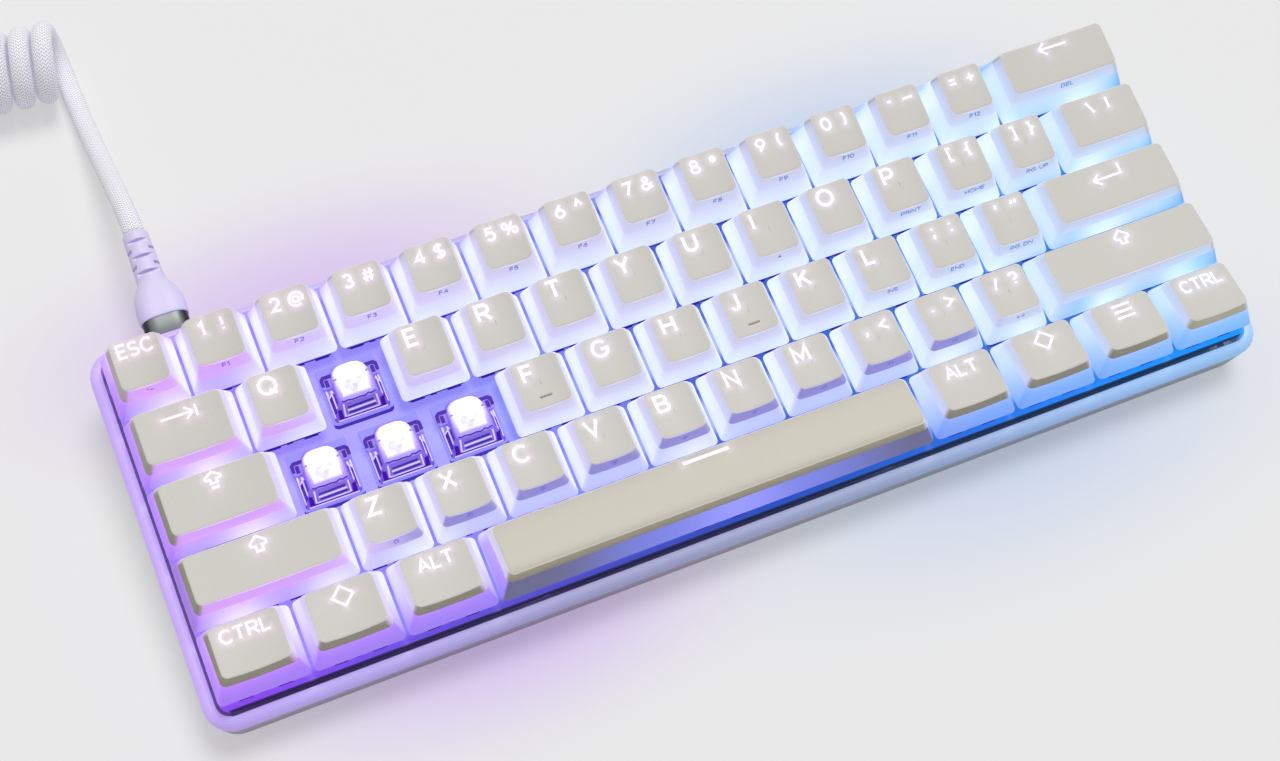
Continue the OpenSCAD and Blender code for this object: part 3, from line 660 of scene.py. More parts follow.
# Drawing of each letter and sign; a capital is 1 high
ESS = "@.34,.75,.32,.25,30,262 @.34,.25,.34,.25,82,-150"
LETTERS = {
    "A": "0,0 .4,1 .8,0|.15,.34 .65,.34",
    "B": "0,0 0,1 @.4,.76,.24,.24,90,-90 0,.52|.3,.52 @.42,.26,.27,.26,90,-90 0,0",
    "C": "@.44,.5,.44,.5,42,318,14",
    "D": "0,0 0,1 @.32,.5,.42,.5,90,-90 0,0",
    "E": ".62,0 0,0 0,1 .62,1|0,.52 .56,.52",
    "F": "0,0 0,1 .62,1|0,.5 .56,.5",
    "G": "@.46,.5,.46,.5,42,325,14 .88,.46 .5,.46",
    "H": "0,0 0,1|.74,0 .74,1|0,.52 .74,.52",
    "I": "0,0 0,1",
    "J": ".46,1 @.23,.27,.23,.27,0,-165",
    "K": "0,0 0,1|.68,1 .04,.38|.28,.6 .72,0",
    "L": "0,1 0,0 .58,0",
    "M": "0,0 0,1 .44,.22 .88,1 .88,0",
    "N": "0,0 0,1 .72,0 .72,1",
    "O": "o.48,.5,.48,.5",
    "P": "0,0 0,1 @.4,.71,.28,.29,90,-90 0,.42",
    "Q": "o.48,.5,.48,.5|.55,.26 .92,-.06",
    "R": "0,0 0,1 @.42,.73,.27,.27,90,-90 0,.46|.38,.46 .72,0",
    "S": ESS,
    "T": "0,1 .78,1|.39,1 .39,0",
    "U": "0,1 @.36,.34,.36,.34,180,360 .72,1",
    "V": "0,1 .39,0 .78,1",
    "X": "0,1 .74,0|.74,1 0,0",
    "Y": "0,1 .39,.46 .78,1|.39,.46 .39,0",
    "Z": ".03,1 .68,1 0,0 .7,0",
    "1": "0,.78 .28,1 .28,0",
    "2": "@.34,.7,.32,.3,165,-40 0,0 .7,0",
    "3": "@.32,.76,.29,.24,150,-90|@.32,.26,.34,.26,90,-150",
    "4": ".54,0 .54,1 0,.3 .74,.3",
    "5": ".64,1 .1,1 .04,.56 @.32,.33,.34,.33,130,-150",
    "6": "o.35,.32,.34,.32|.56,1 .2,.64 .03,.38",
    "7": "0,1 .68,1 .22,0",
    "8": "o.35,.76,.28,.24|o.35,.26,.35,.26",
    "9": "o.35,.68,.34,.32|.67,.62 .5,.36 .14,0",
    "0": "o.38,.5,.38,.5",
    "!": "0,1 0,.36|0,.14 0,0",
    "@": "@.5,.45,.55,.55,-55,-350,16 1,.3 .78,.32|o.48,.46,.24,.24",
    "#": ".2,0 .32,1|.58,0 .7,1|0,.32 .84,.32|.06,.68 .9,.68",
    "$": ESS + "|.34,-.14 .34,1.14",
    "%": "o.19,.75,.19,.24|o.91,.25,.19,.24|.86,1 .24,0",
    "^": "0,.5 .27,.98 .54,.5",
    "&": ".84,0 @.38,.8,.19,.2,215,-45 @.32,.25,.32,.25,140,335 .82,.46",
    "*": ".3,.4 .3,1|.04,.55 .56,.85|.04,.85 .56,.55",
    "(": "@.5,.5,.42,.66,125,235",
    ")": "@-.2,.5,.42,.66,55,-55",
    "-": "0,.62 .34,.62",
    "_": "0,.5 .86,.5",
    "=": "0,.34 .6,.34|0,.7 .6,.7",
    "+": "0,.5 .66,.5|.33,.17 .33,.83",
    "[": ".3,1.06 0,1.06 0,-.06 .3,-.06",
    "]": "0,1.06 .3,1.06 .3,-.06 0,-.06",
    "{": ".4,1.06 .2,1 .2,.64 0,.5 .2,.36 .2,0 .4,-.06",
    "}": "0,1.06 .2,1 .2,.64 .4,.5 .2,.36 .2,0 0,-.06",
    "\\": "0,1 .42,0",
    "|": "0,0 0,1",
    ";": "0,.72 0,.9|.02,.28 .02,.1 -.1,-.08",
    ":": "0,.72 0,.9|0,.1 0,.28",
    "'": ".02,1 .02,.84 -.06,.66",
    '"': ".02,1 .02,.84 -.06,.66|.36,1 .36,.84 .28,.66",
    ",": ".02,.3 .02,.12 -.1,-.1",
    ".": "0,.02 0,.2",
    "<": ".6,.92 0,.5 .6,.08",
    ">": "0,.92 .6,.5 0,.08",
    "/": "0,0 .42,1",
    "?": "@.3,.72,.3,.28,165,-50 .3,.42 .3,.32|.3,.14 .3,0",
    "`": "0,1 .2,.7",
    "~": "0,.4 .16,.56 .44,.4 .6,.56",
    " ": "",
}
# Signs on the cap tops, in millimetres
SIGNS = {
    "_BACK": "-3.9,4.7 4.3,4.7|-4.1,4.7 -1.9,6.4|-4.1,4.7 -1.9,3",
    "_TAB": "-4.7,3.7 3.2,3.7|3.3,3.7 1.4,5.2|3.3,3.7 1.4,2.2|4.1,2.2 4.1,5.2",
    "_ENTER": "-4.1,2.6 4.3,2.6|-4.4,2.6 -2.4,4.1|-4.4,2.6 -2.4,1.1|4,2.6 4,5.6",
    "_SUPER": ".2,1.7 2.8,4.3 .2,6.9 -2.4,4.3 .2,1.7",
    "_MENU": "-2.4,2.6 2.8,2.6|-2.4,4.4 2.8,4.4|-2.4,6.2 2.8,6.2",
    "_SPACE": "-5.9,6.1 6.6,6.1",
}
PRINT_DOWN = 2.1
SIGN_WIDTH = 0.62
SIGN_WIDTHS = {"_MENU": 0.7, "_SPACE": 0.95}
# Filled shapes and lines, with their width, of the small signs on the cap fronts
FRONT_FILLS = {
    "_UP": "-.6,-.3 .6,-.3 0,.5",
    "_MUTE": "-.6,-.2 -.2,-.2 .2,-.55 .2,.55 -.2,.2 -.6,.2",
    "_BACKWARD": ".1,.45 -.7,0 .1,-.45|.95,.45 .15,0 .95,-.45",
    "_FORWARD": "-.95,-.45 -.15,0 -.95,.45|-.1,-.45 .7,0 -.1,.45",
    "_PLAY": "-1,-.45 -.2,0 -1,.45",
}
FRONT_LINES = {
    "_DOT": ("0,-.1 0,.4", 0.2),
    "_MUTE": (".5,-.3 .5,.3", 0.16),
    "_PLAY": (".4,-.45 .4,.45|.9,-.45 .9,.45", 0.22),
}


def sides(spots, width, closed):
    """Points half a width to the right and to the left of a line."""
    ways = [(b - a).normalized() for a, b in zip(spots, spots[1:] + spots[:1])]
    right, left = [], []
    for k, p in enumerate(spots):
        before, after = (k - 1, k) if closed else (max(k - 1, 0), min(k, len(spots) - 2))
        n0, n1 = (Vector((-ways[j].y, ways[j].x)) for j in (before, after))
        mitre = (n0 + n1).normalized() if (n0 + n1).length > 0.1 else n0
        reach = width / 2 / max(0.45, mitre.dot(n0))
        right.append(p - mitre * reach)
        left.append(p + mitre * reach)
    return right, left


def prism(ring):
    """Points over a ring at heights 0 and 1, and the faces between them."""
    n = len(ring)
    points = [(*p, z) for z in (0, 1) for p in ring]
    return points, [[k, (k + 1) % n, n + (k + 1) % n, n + k] for k in range(n)]


def slab(corners):
    """Filled polygon, given counter-clockwise."""
    n = len(corners)
    points, walls = prism(corners)
    return points, [list(range(n))[::-1], list(range(n, 2 * n))] + walls


def outline(corners, width):
    """Closed line of even width through the corners, given counter-clockwise."""
    n = len(corners)
    outer, inner = sides([Vector(c) for c in corners], width, True)
    points = [(*p, z) for z in (0, 1) for p in outer + inner]
    faces = []
    for o0 in range(n):
        o1 = (o0 + 1) % n
        i0, i1 = n + o0, n + o1
        faces += [[i0, i1, o1, o0], [2 * n + o0, 2 * n + o1, 2 * n + i1, 2 * n + i0]]
        faces += [[o0, o1, 2 * n + o1, 2 * n + o0], [i1, i0, 2 * n + i0, 2 * n + i1]]
    return points, faces


def ribbon(line, width):
    """Flat bar of even width along an open line, or round a closed one."""
    spots = [Vector(p) for p in line]
    spots = [p for k, p in enumerate(spots) if k == 0 or (p - spots[k - 1]).length > 1e-5]
    if (spots[0] - spots[-1]).length < 1e-4:
        return outline(spots[:-1], width)
    right, left = sides(spots, width, False)
    points, faces = prism(right + left[::-1])
    m = 2 * len(spots)
    for k in range(len(spots) - 1):
        quad = [k, k + 1, m - 2 - k, m - 1 - k]
        faces += [quad[::-1], [m + q for q in quad]]
    return points, faces


def fill(drawing):
    return [slab(corners) for corners in lines_of(drawing)]


def draw(drawing, width):
    return [ribbon(line, width) for line in lines_of(drawing)]


def write(text, bottom, height, width, left=None, centre=None, widen=1.0, space=0.3):
    """Bars of a word from its lower edge up, set by its left edge or by its middle."""
    scale = height - width
    lines, start = [], 0.0
    for letter in text:
        drawn = lines_of(LETTERS[letter])
        xs = [p[0] for line in drawn for p in line] or [0, 0.35]
        lines += [[(start + (x - min(xs)) * widen, y) for x, y in line] for line in drawn]
        start += (max(xs) - min(xs)) * widen + space
    total = (start - space) * scale
    x0 = left + width / 2 if centre is None else centre - total / 2
    y0 = bottom + width / 2
    return [ribbon([(x0 + x * scale, y0 + y * scale) for x, y in line], width) for line in lines]


def circle(r, n=14):
    return [(r * math.cos(2 * math.pi * k / n), r * math.sin(2 * math.pi * k / n)) for k in range(n)]


def spade(x, y, w, h):
    """Outline of an upward arrow with round shoulders."""
    s = w * 0.2
    low = y + h * 0.36
    r = h * 0.14
    right = arc(x + w / 2 - r, low + r, r, r, -90, 45, 4)
    left = [(2 * x - p[0], p[1]) for p in right[::-1]]
    return [(x - s, y), (x + s, y), (x + s, low), *right, (x, y + h), *left, (x - s, low)]


def sign(name):
    """Shapes of a sign on a cap's top."""
    if name == "_CAPS":
        return [outline(spade(0, 3.5, 3.9, 2.9), SIGN_WIDTH)] + draw("-.95,2.35 .95,2.35", 0.75)
    if name == "_SHIFT":
        return [outline(spade(0.1, 2.6, 4.0, 4.0), SIGN_WIDTH)]
    return draw(SIGNS[name], SIGN_WIDTHS.get(name, SIGN_WIDTH))


def top_marks(mark):
    if mark.startswith("_") and len(mark) > 2:
        return sign(mark)
    if len(mark) == 1:
        return write(mark, 1.1, 5.0, 0.84, left=-4.2, widen=1.05)
    if len(mark) == 2:
        return write(mark[0], 1.8, 3.9, 0.7, centre=-2.5) + write(mark[1], 1.8, 3.9, 0.7, centre=2.8)
    return write(mark, 2.6, 3.9, 0.66, centre=-0.1, space=0.27)


def front_marks(mark):
    """Shapes of the small print on a cap's front."""
    if not mark.startswith("_"):
        return write(mark, -0.68, 1.35, 0.2, centre=0.3, widen=1.25, space=0.35)
    found = fill(FRONT_FILLS.get(mark, ""))
    if mark in ("_RING", "_DOT"):
        found.append(outline(circle(0.6), 0.2))
    if mark == "_SUN":
        found.append(slab(circle(0.34)))
        found += [ribbon(ray, 0.16) for ray in zip(circle(0.55, 8), circle(0.85, 8))]
    return found + draw(*FRONT_LINES.get(mark, ("", 0)))


def add_legends(build, cap):
    """Lit legends of the top and printed ones of the front; gives the corners of the lit strokes."""
    spots = []
    light = tuple(blend((0.62, 0.42, 0.60), (0.46, 0.50, 0.62), rightward(cap.x)))
    for points, faces in top_marks(LEGENDS[cap.row][cap.i]):
        spots += [(a, b) for a, b, c in points if c]
        raised = [(a + cap.x, b + cap.y, cap.top(a, b) + (0.05 if c else -0.2)) for a, b, c in points]
        build.add(raised, faces, IN_LEGEND, light)
    for points, faces in front_marks(FRONTS[cap.row][cap.i]):
        raised = [cap.front(a, PRINT_DOWN - b, 0.16 if c else -0.1) for a, b, c in points]
        # The front print gives the lamps' colour along the keyboard: painted lamp light.
        build.add([(p.x + cap.x, p.y + cap.y, p.z) for p in raised], faces, IN_PRINT, tuple(hue(cap.x) * 0.5))
    return spots


def halo_of(cap, spots):
    """Soft light in the shell round the lit legends."""
    warm = blend((1.0, 0.50, 0.92), (0.55, 0.66, 1.0), min(1, max(0, (cap.x + 150) / 300)))

    def halo(x, y, out):
        a, b = x - cap.x, y - cap.y
        near = min(((a - u) ** 2 + (b - v) ** 2 for u, v in spots), default=99)
        return warm * (0.17 * math.exp(-near) + 0.025 * math.exp(-near / 16))
    return halo


key_builds = {}
BAR_Y = -3.3
for row, i in KEYS:
    node = node_of(row, i)
    if node.startswith("stem_"):
        continue
    cap = Cap(row, i)
    build = key_builds.setdefault(node, Build())
    spots = add_legends(build, cap)
    add_cap(build, cap, halo_of(cap, spots))
    # Faint light on the plungers inside the caps: painted lamp light.
    add_plunger(build, cap, (0.3, 0.3, 0.4))
    if LEGENDS[row][i] in "FJ":
        # Homing bar in the darker shell copy: painted shade.
        build.block((3.2, 0.4, 0.5), (cap.x, cap.y + BAR_Y, cap.top(0, BAR_Y) + 0.08), IN_SHADED_SHELL)
for node, build in key_builds.items():
    piece = build.piece("cap_" + node.split("_", 1)[1], CAP_SHADES)
    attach(piece, node)
    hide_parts(node)


# Clear covers of the switches

SHADOW_GLOW = {"shine": 0.1, "glow": (0.13, 0.01, 1.0), "power": 0.24}
COVER_SHADES = [
    glowing("cover_clear", (0.07, 0.035, 0.30), (0.11, 0.06, 0.38), 0.2, 400, 0.1, shine=0.15),
    plain("cover_edge", (0.022, 0.004, 0.11), (0.045, 0.010, 0.19), 0.4, **SHADOW_GLOW),
    # Pale lines on the clear covers: painted glints.
    glowing("cover_painted_glint", (0.62, 0.56, 0.78), (0.72, 0.66, 0.88), 0.12),
    plain("clip_notch_shadow", (0.012, 0.010, 0.10), (0.025, 0.020, 0.16), 0.5, **SHADOW_GLOW),
]
IN_COVER, IN_EDGE, IN_GLINT, IN_NOTCH_SHADOW = range(4)
COVER_LOW, COVER_HIGH = 0.9, 6.2
COVER_HALF_X, COVER_HALF_Y, TOP_HALF_X, TOP_HALF_Y, TOP_MIDDLE = 7.15, 7.4, 5.1, 4.9, 0.3
HOLE_WIDTH = 7.4
# Top and inside of a cover: width, depth, middle, height, front and rear corner radius
COVER_TOP = [
    (9.9, 9.5, 0.3, 6.2, 0.4, 3.4), (9.3, 8.6, 0.25, 6.2, 0.3, 3.0), (8.5, 7.6, 0.15, 6.2, 0.3, 2.4),
    (HOLE_WIDTH, 6.6, 0.0, 6.2, 0.2, 0.2), (HOLE_WIDTH, 6.6, 0.0, 5.2, 0.2, 0.2),
    (9.0, 8.4, 0.3, 5.2, 0.2, 2.4), (12.4, 12.8, 0.0, 0.9, 0.3, 3.4),
]
# Size and place of the dark clip notches and painted shadow on the plate at the front of a switch
NOTCH_SHADOWS = [
    ((14.8, 0.22, 0.3), (0, -7.82, 0.16)), ((3.7, 0.62, 0.34), (-4.9, -8.02, 0.18)),
    ((3.7, 0.62, 0.34), (4.9, -8.02, 0.18)), ((1.6, 0.5, 0.32), (-0.6, -7.95, 0.17)),
]


def cover_glow(x, y, z, bare):
    """White light in a clear cover, most on its plunger's rear side, over the lamp."""
    white = (1 - smooth(abs(x), 3.4, 5.2)) * smooth(z, 2.4, 6.0) * (0.10 + 0.90 * smooth(y, -4.8, 2.6))
    return 0.95 * white if bare else 0.3 * white


def cover_size(z):
    """Width, depth and middle of a cover at a level between its foot and its top."""
    t = (z - COVER_LOW) / (COVER_HIGH - COVER_LOW)
    width = 2 * (COVER_HALF_X + (TOP_HALF_X - COVER_HALF_X) * t)
    depth = 2 * (COVER_HALF_Y + (TOP_HALF_Y - COVER_HALF_Y) * t)
    return width, depth, TOP_MIDDLE * t


def pinched(x, y, z):
    """Place on the narrower rear half of a bare cover, beside which its ears stand."""
    slim = 0.72 + 0.18 * smooth(z, COVER_LOW, COVER_HIGH)
    return x * (1 + (slim - 1) * smooth(y, -0.4, 1.6)), y


def add_cover(build, x, y, bare):
    """Tapered shell with a hole for the plunger; a bare one shows its round rear corners."""
    sizes = [(*cover_size(z), z, 0.5, 4.2) for z in (0.9, 1.8, 2.9, 4.0, 5.1, 6.0)] + COVER_TOP
    rings, glows = [], []
    for w, d, y0, z, r, rear in sizes:
        flat, _ = rounded_ring(w, d, r, y0, 10, 10, 4 if bare else 2, rear if bare else r)
        if bare and w > HOLE_WIDTH:
            flat = [pinched(*p, z) for p in flat]
        rings.append([(x + p[0], y + p[1], z) for p in flat])
        # Painted lamp light in the clear cover: the lamps' colour, bluer towards its top, with the white of
        # cover_glow.
        body = hue(x) * 0.40 + Vector((0.02, 0.01, 0.12)) * smooth(z, 2.0, 6.2)
        white = Vector((1.0, 0.96, 0.90))
        glows.append([tuple(body + white * cover_glow(*p, z, bare)) for p in flat])
    build.rings(rings, IN_COVER, glows, (False, False), loop=True)


def slope(run, v, out):
    """Way inwards and height of a place on a cover's slope, v up the slope and out above it."""
    rise = COVER_HIGH - COVER_LOW
    length = math.hypot(run, rise)
    return (run * v - rise * out) / length, COVER_LOW + (rise * v + run * out) / length


def front_face(u, v, out):
    """Place on the sloped front of a cover: u to the right, v up the slope."""
    inward, z = slope(COVER_HALF_Y - TOP_HALF_Y + TOP_MIDDLE, v, out)
    return u, inward - COVER_HALF_Y, z


def left_face(u, v, out):
    """The same for the left slope, with u to the rear."""
    inward, z = slope(COVER_HALF_X - TOP_HALF_X, v, out)
    return inward - COVER_HALF_X, u, z


def right_face(u, v, out):
    x, y, z = left_face(u, v, out)
    return -x, y, z


def top_face(u, v, out):
    return u, v, COVER_HIGH + out


def lay(build, shapes, face, x, y, slot, glow, thick):
    """Thin raised shapes on a face of a cover."""
    for points, faces in shapes:
        places = [face(a, b, thick if c else -0.2) for a, b, c in points]
        turned = [f[::-1] for f in faces] if face is left_face else faces
        build.add([(x + a, y + b, c) for a, b, c in places], turned, slot, glow)


def stand(build, shape, x, y, low, high, slot, glow=NO_LIGHT):
    """Upright shape between two heights."""
    points, faces = shape
    build.add([(x + a, y + b, high if c else low) for a, b, c in points], faces, slot, glow)


def add_bare_details(build, x, y):
    """Ears, rails of painted glints and dark lines, clip slots and striped window of a switch without a cap,
    and painted shadow at its front foot.
    """
    pale = tuple(hue(x) * 0.20 + Vector((0.26, 0.23, 0.30)))
    lilac = tuple(hue(x) * 0.36 + Vector((0.04, 0.04, 0.06)))
    grey, deep = (0.22, 0.16, 0.36), (0.0, 0.0, 0.12)
    window = fill("-4.2,1.3 4.2,1.3 4.1,5.6 -4.1,5.6")
    bands = fill("-3.4,1.9 3.8,2 3.6,2.7 -3.3,2.5|-3.5,3.7 3.3,3.8 3.4,4.6 -3.4,4.3")
    # Painted glints along the window's frame and the cover's foot.
    lines = draw("-3.6,3.1 3.8,3.25", 0.5) + draw("-4.3,1.4 4.3,1.45", 0.35) + draw("-6.5,.45 6.5,.45", 0.4)
    lines += draw("-4.5,1.4 -4.3,5.4|4.5,1.4 4.3,5.4", 0.4)
    slots = fill("-6.15,1.1 -4.95,1.1 -5.05,3.9 -6.05,3.9|4.95,1.1 6.15,1.1 6.05,3.9 5.05,3.9")
    slots += draw("-6.2,.95 6.2,.95", 0.28)
    waves = draw(
        "-4.5,-4.2 -3.8,-4.45 -2.9,-4.3 -1.6,-4.5 .2,-4.42 1.6,-4.55 2.5,-4.15 3.2,-4.4 4.6,-4.1", 0.34)
    marks = draw("-4.8,1.7 -3.75,1.9|3.75,1.7 4.8,1.9", 0.5)
    lay(build, window, front_face, x, y, IN_COVER, lilac, 0.05)
    lay(build, bands, front_face, x, y, IN_COVER, deep, 0.08)
    lay(build, lines, front_face, x, y, IN_GLINT, pale, 0.12)
    lay(build, slots, front_face, x, y, IN_EDGE, NO_LIGHT, 0.11)
    lay(build, waves, top_face, x, y, IN_EDGE, NO_LIGHT, 0.05)
    lay(build, marks, top_face, x, y, IN_COVER, grey, 0.1)
    lines = draw("-6.2,.6 2.4,.6", 0.6) + draw("-4.8,3.3 .2,3.35", 0.45) + draw("-.9,.8 -.6,4.4", 0.5)
    shades = fill("-5.8,1.2 -.4,1.2 -.4,2.3 -5.4,2.3|-4.2,4.2 -1.2,4.2 -1.3,5 -4,5")
    darks = draw("-5.6,2.5 -.3,2.6", 0.28) + draw("-6.9,.12 2,.12", 0.22) + draw("-2,1.3 -1.8,2.4", 0.6)
    foot, hook, clip = lines_of(
        "4.2,1.4 7.1,1.4 7.55,1.9 7.55,4.4 7,5 4.2,5|4.4,4.6 6.6,4.6 7.2,4.1 7.2,2.3"
        "|5.6,1.9 6.55,1.9 6.55,3.8 5.6,3.8")
    for face in (left_face, right_face):
        lay(build, lines, face, x, y, IN_GLINT, pale, 0.12)
        lay(build, shades, face, x, y, IN_COVER, deep, 0.08)
        lay(build, darks, face, x, y, IN_EDGE, NO_LIGHT, 0.11)
        foot, hook, clip = ([(-a, b) for a, b in line[::-1]] for line in (foot, hook, clip))
        stand(build, slab(foot), x, y, 0.9, 2.7, IN_COVER, lilac)
        stand(build, ribbon(hook, 0.85), x, y, 2.6, 3.0, IN_EDGE)
        stand(build, slab(clip), x, y, 2.6, 2.85, IN_EDGE)
    # Dark line round the cover's front foot: its flange lip and painted shadow on the plate.
    lip = draw("-7.55,-7.3 -7.45,-8 -6.9,-8.35 6.9,-8.35 7.45,-8 7.55,-7.3", 0.75)[0]
    stand(build, lip, x, y, 0.02, 0.34, IN_NOTCH_SHADOW)


covers = Build()
for row, i in KEYS:
    x, y = key_place(row, i)
    bare = node_of(row, i).startswith("stem_")
    add_cover(covers, x, y, bare)
    if bare:
        add_bare_details(covers, x, y)
        continue
    # Clip notches and painted shadow in front of a capped switch.
    for size, (a, b, z) in NOTCH_SHADOWS:
        covers.block(size, (x + a, y + b, z), IN_NOTCH_SHADOW)
cover_piece = covers.piece("switch_covers", COVER_SHADES)
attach(cover_piece, "base")
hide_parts("switch_tops")


# Fixed CAD pieces and their materials

RIM_Z = PLATE_Z - 1.6 / math.cos(TILT)
PLATE_HUES = [(-150, (0.29, 0.06, 0.92)), (0, (0.03, 0.13, 0.88)), (150, (0.0, 0.27, 0.90))]
BASE_HUES = [(-150, (0.30, 0.24, 1.0)), (0, (0.26, 0.30, 1.0)), (150, (0.08, 0.42, 1.0))]


def case_shade():
    """Matt white plastic with a rim that catches the key lamps' colour, most at the keyboard's ends, and
    painted shade: greyer walls below the rim, a front that darkens towards its foot and a near black inside.
    """
    shade = lit("case_plastic", (0.56, 0.55, 0.57), (0.62, 0.61, 0.63), 0.45, 0.0, 1500, 0.2)
    along, across, up = shade.place()
    level = shade.math("MULTIPLY_ADD", across, -math.tan(TILT), up)
    rim, low = (shade.span(level, (RIM_Z - depth) * MM, RIM_Z * MM) for depth in (7, 9))
    left = shade.span(along, -0.130, -0.030, 0.27, 0.0)
    right = shade.span(along, 0.010, 0.130, 0.0, 0.31)
    ends = shade.plus(shade.plus(left, right), 0.22)
    glow = shade.plus(shade.times(rim, ends), 0.05)
    # Painted shade: the tray's inside walls, seen in the gap round the plate, near black.
    inner = shade.span(across, -0.04864, -0.04854)
    inner = shade.times(inner, shade.span(across, -0.0475, -0.0472, 1.0, 0.0))
    half = shade.math("ABSOLUTE", along)
    inner = shade.times(inner, shade.span(half, 0.139, 0.141, 1.0, 0.0))
    outside = shade.minus(1.0, inner)
    # Painted shade: the front wall darkens towards its foot, and the walls below the rim are greyer.
    front = shade.mix(low, (0.27, 0.26, 0.25), (0.33, 0.36, 0.36))
    flank_shade = shade.mix(rim, shade.base, (0.45, 0.43, 0.45))
    walls = shade.mix(shade.span(across, -0.0505, -0.046), front, flank_shade)
    colour = shade.mix(inner, walls, (0.012, 0.010, 0.03))
    shade.set(base=colour, power=shade.times(glow, outside))
    return shade


def plate_shade():
    """Grained metal sheet with painted lamp light: pale between the keys, painted shade at their corners,
    deep in colour at the front, and a painted shadow along its front edge.
    """
    shade = lit("plate_coat", (0.08, 0.07, 0.12), (0.20, 0.19, 0.27), 0.55, 0.6, 2600, 0.35, PLATE_HUES)
    along, across, _ = shade.place()
    row = PITCH * MM * math.cos(TILT)
    wave = shade.math("COSINE", shade.times(across, 2 * math.pi / row))
    centre = shade.span(wave, -0.9, 0.9)
    field = shade.span(across, -2.47 * row, -2.3 * row)
    # Painted shade at the keys' corners and paler painted lamp light between them, both varying along the
    # keyboard.
    corner_shade, light, steady = (
        shade.span(along, -0.055, 0.010, *ends) for ends in ((0.0, 0.70), (0.31, 0.78), (0.75, 0.0)))
    light = shade.times(field, light)
    pale = shade.times(light, shade.math("MAXIMUM", steady, centre))
    corner_shade = shade.times(field, corner_shade)
    dark = shade.times(corner_shade, shade.minus(1.0, centre))
    right = shade.span(along, 0.0, 0.12, 0.55, 1.15)
    strip = shade.plus(right, shade.span(along, -0.13, -0.03, 0.36, 0.0))
    rest = shade.minus(0.85, strip)
    full = shade.plus(strip, shade.times(field, rest))
    level = shade.minus(full, shade.times(dark, 0.45))
    # Painted shadow in the gap at the plate's front edge.
    edge = shade.span(across, -2.51 * row, -2.495 * row, 0.05, 1.0)
    shade.set(base=shade.mix(field, (0.012, 0.020, 0.06), shade.base))
    shade.set(glow=shade.mix(pale, shade.lamps, (0.62, 0.72, 1.0)), power=shade.times(level, edge))
    return shade


STEEL = plain("bright_steel", (0.55, 0.56, 0.58), (0.66, 0.67, 0.69), 0.28, 1200, 0.1, metal=1.0)
# The bare switches' stems glow white: painted lamp light.
STEM_WHITE = plain(
    "stem_white", (0.76, 0.76, 0.84), (0.82, 0.82, 0.90), 0.4, glow=(0.86, 0.82, 1.0), power=0.42)
# Switch bases and stabilizer guides show the lamps' colour in their glow: painted lamp light.
BASE_WHITE = lit(
    "switch_base", (0.07, 0.07, 0.12), (0.12, 0.11, 0.18), 0.6, 0.85, hues=BASE_HUES, shine=0.15)
for shade, nodes in (
    (plate_shade(), ["switch_plate"]),
    (case_shade(), ["bottom_case", "tilt_foot_left", "tilt_foot_right"]),
    (plain("board_mask", (0.03, 0.10, 0.06), (0.05, 0.14, 0.08), 0.35), ["circuit_board"]),
    (BASE_WHITE, ["switch_bases"]),
    (lit("guide_white", (0.55, 0.55, 0.60), (0.63, 0.63, 0.68), 0.4, 0.3), ["stabilizer_housings"]),
    (plain("pad_rubber", (0.03, 0.03, 0.032), (0.05, 0.05, 0.052), 0.8, 1800, 0.4), ["rubber_feet"]),
    (STEEL, ["switch_springs", "case_screws", "cord_end", "wire_backspace", "wire_enter"]),
    (STEEL, ["wire_shift_left", "wire_shift_right", "wire_space"]),
    (STEM_WHITE, ["stem_w", "stem_a", "stem_s", "stem_d"]),
):
    for node in nodes:
        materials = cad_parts[node].data.materials
        materials.clear()
        materials.append(shade.material)


# Plug

PLUG_X = -6.5 * PITCH
PLUG_Z = -8.25
PLUG_START = 51.2
COLLAR = 6.1
BULB = 11
SLEEVE = 15
BULB_START = PLUG_START + COLLAR
PLUG_END = BULB_START + BULB + SLEEVE
IN_COLLAR, IN_MOULD, IN_TONGUE = range(3)
# Sections: place along the part, width, height and corner radius
TONGUE_SECTIONS = [(-6.6, 7.8, 1.9, 0.6), (-6.3, 8.4, 2.5, 0.8), (0, 8.4, 2.5, 0.8)]
COLLAR_SECTIONS = [(0, 11.6, 7.0, 3.2), (0.2, 12, 7.4, 3.3), (COLLAR + 0.1, 12, 7.4, 3.3)]
BULB_SECTIONS = [
    (0.25, 12.8, 8.2, 3.8), (1.6, 13, 8.6, 4), (4, 12.9, 8.6, 4), (7, 11.9, 8.5, 4.1), (9.5, 9.6, 8.1, 3.9),
    (BULB, 7.8, 7.8, 3.8),
]


def collar_shade():
    """Dark satin metal with painted shade, blacker towards its rounded left and right ends."""
    shade = Shade("collar_metal")
    shade.grain(1500, 0.1)
    away = shade.math("ABSOLUTE", shade.minus(shade.place()[0], PLUG_X * MM))
    # Painted shade where the collar turns away at its ends.
    ends = shade.span(away, 3.4 * MM, 5.4 * MM)
    shade.set(base=shade.mix(ends, (0.22, 0.24, 0.225), (0.010, 0.010, 0.013)), rough=0.42, metal=0.35)
    return shade


def add_plug_part(build, start, sections, slot):
    rings = []
    for y, width, height, radius in sections:
        flat, _ = rounded_ring(width, height, radius, 0, 6, 4, 6)
        rings.append([(PLUG_X + p[0], start + y, PLUG_Z - p[1]) for p in flat])
    build.rings(rings, slot)


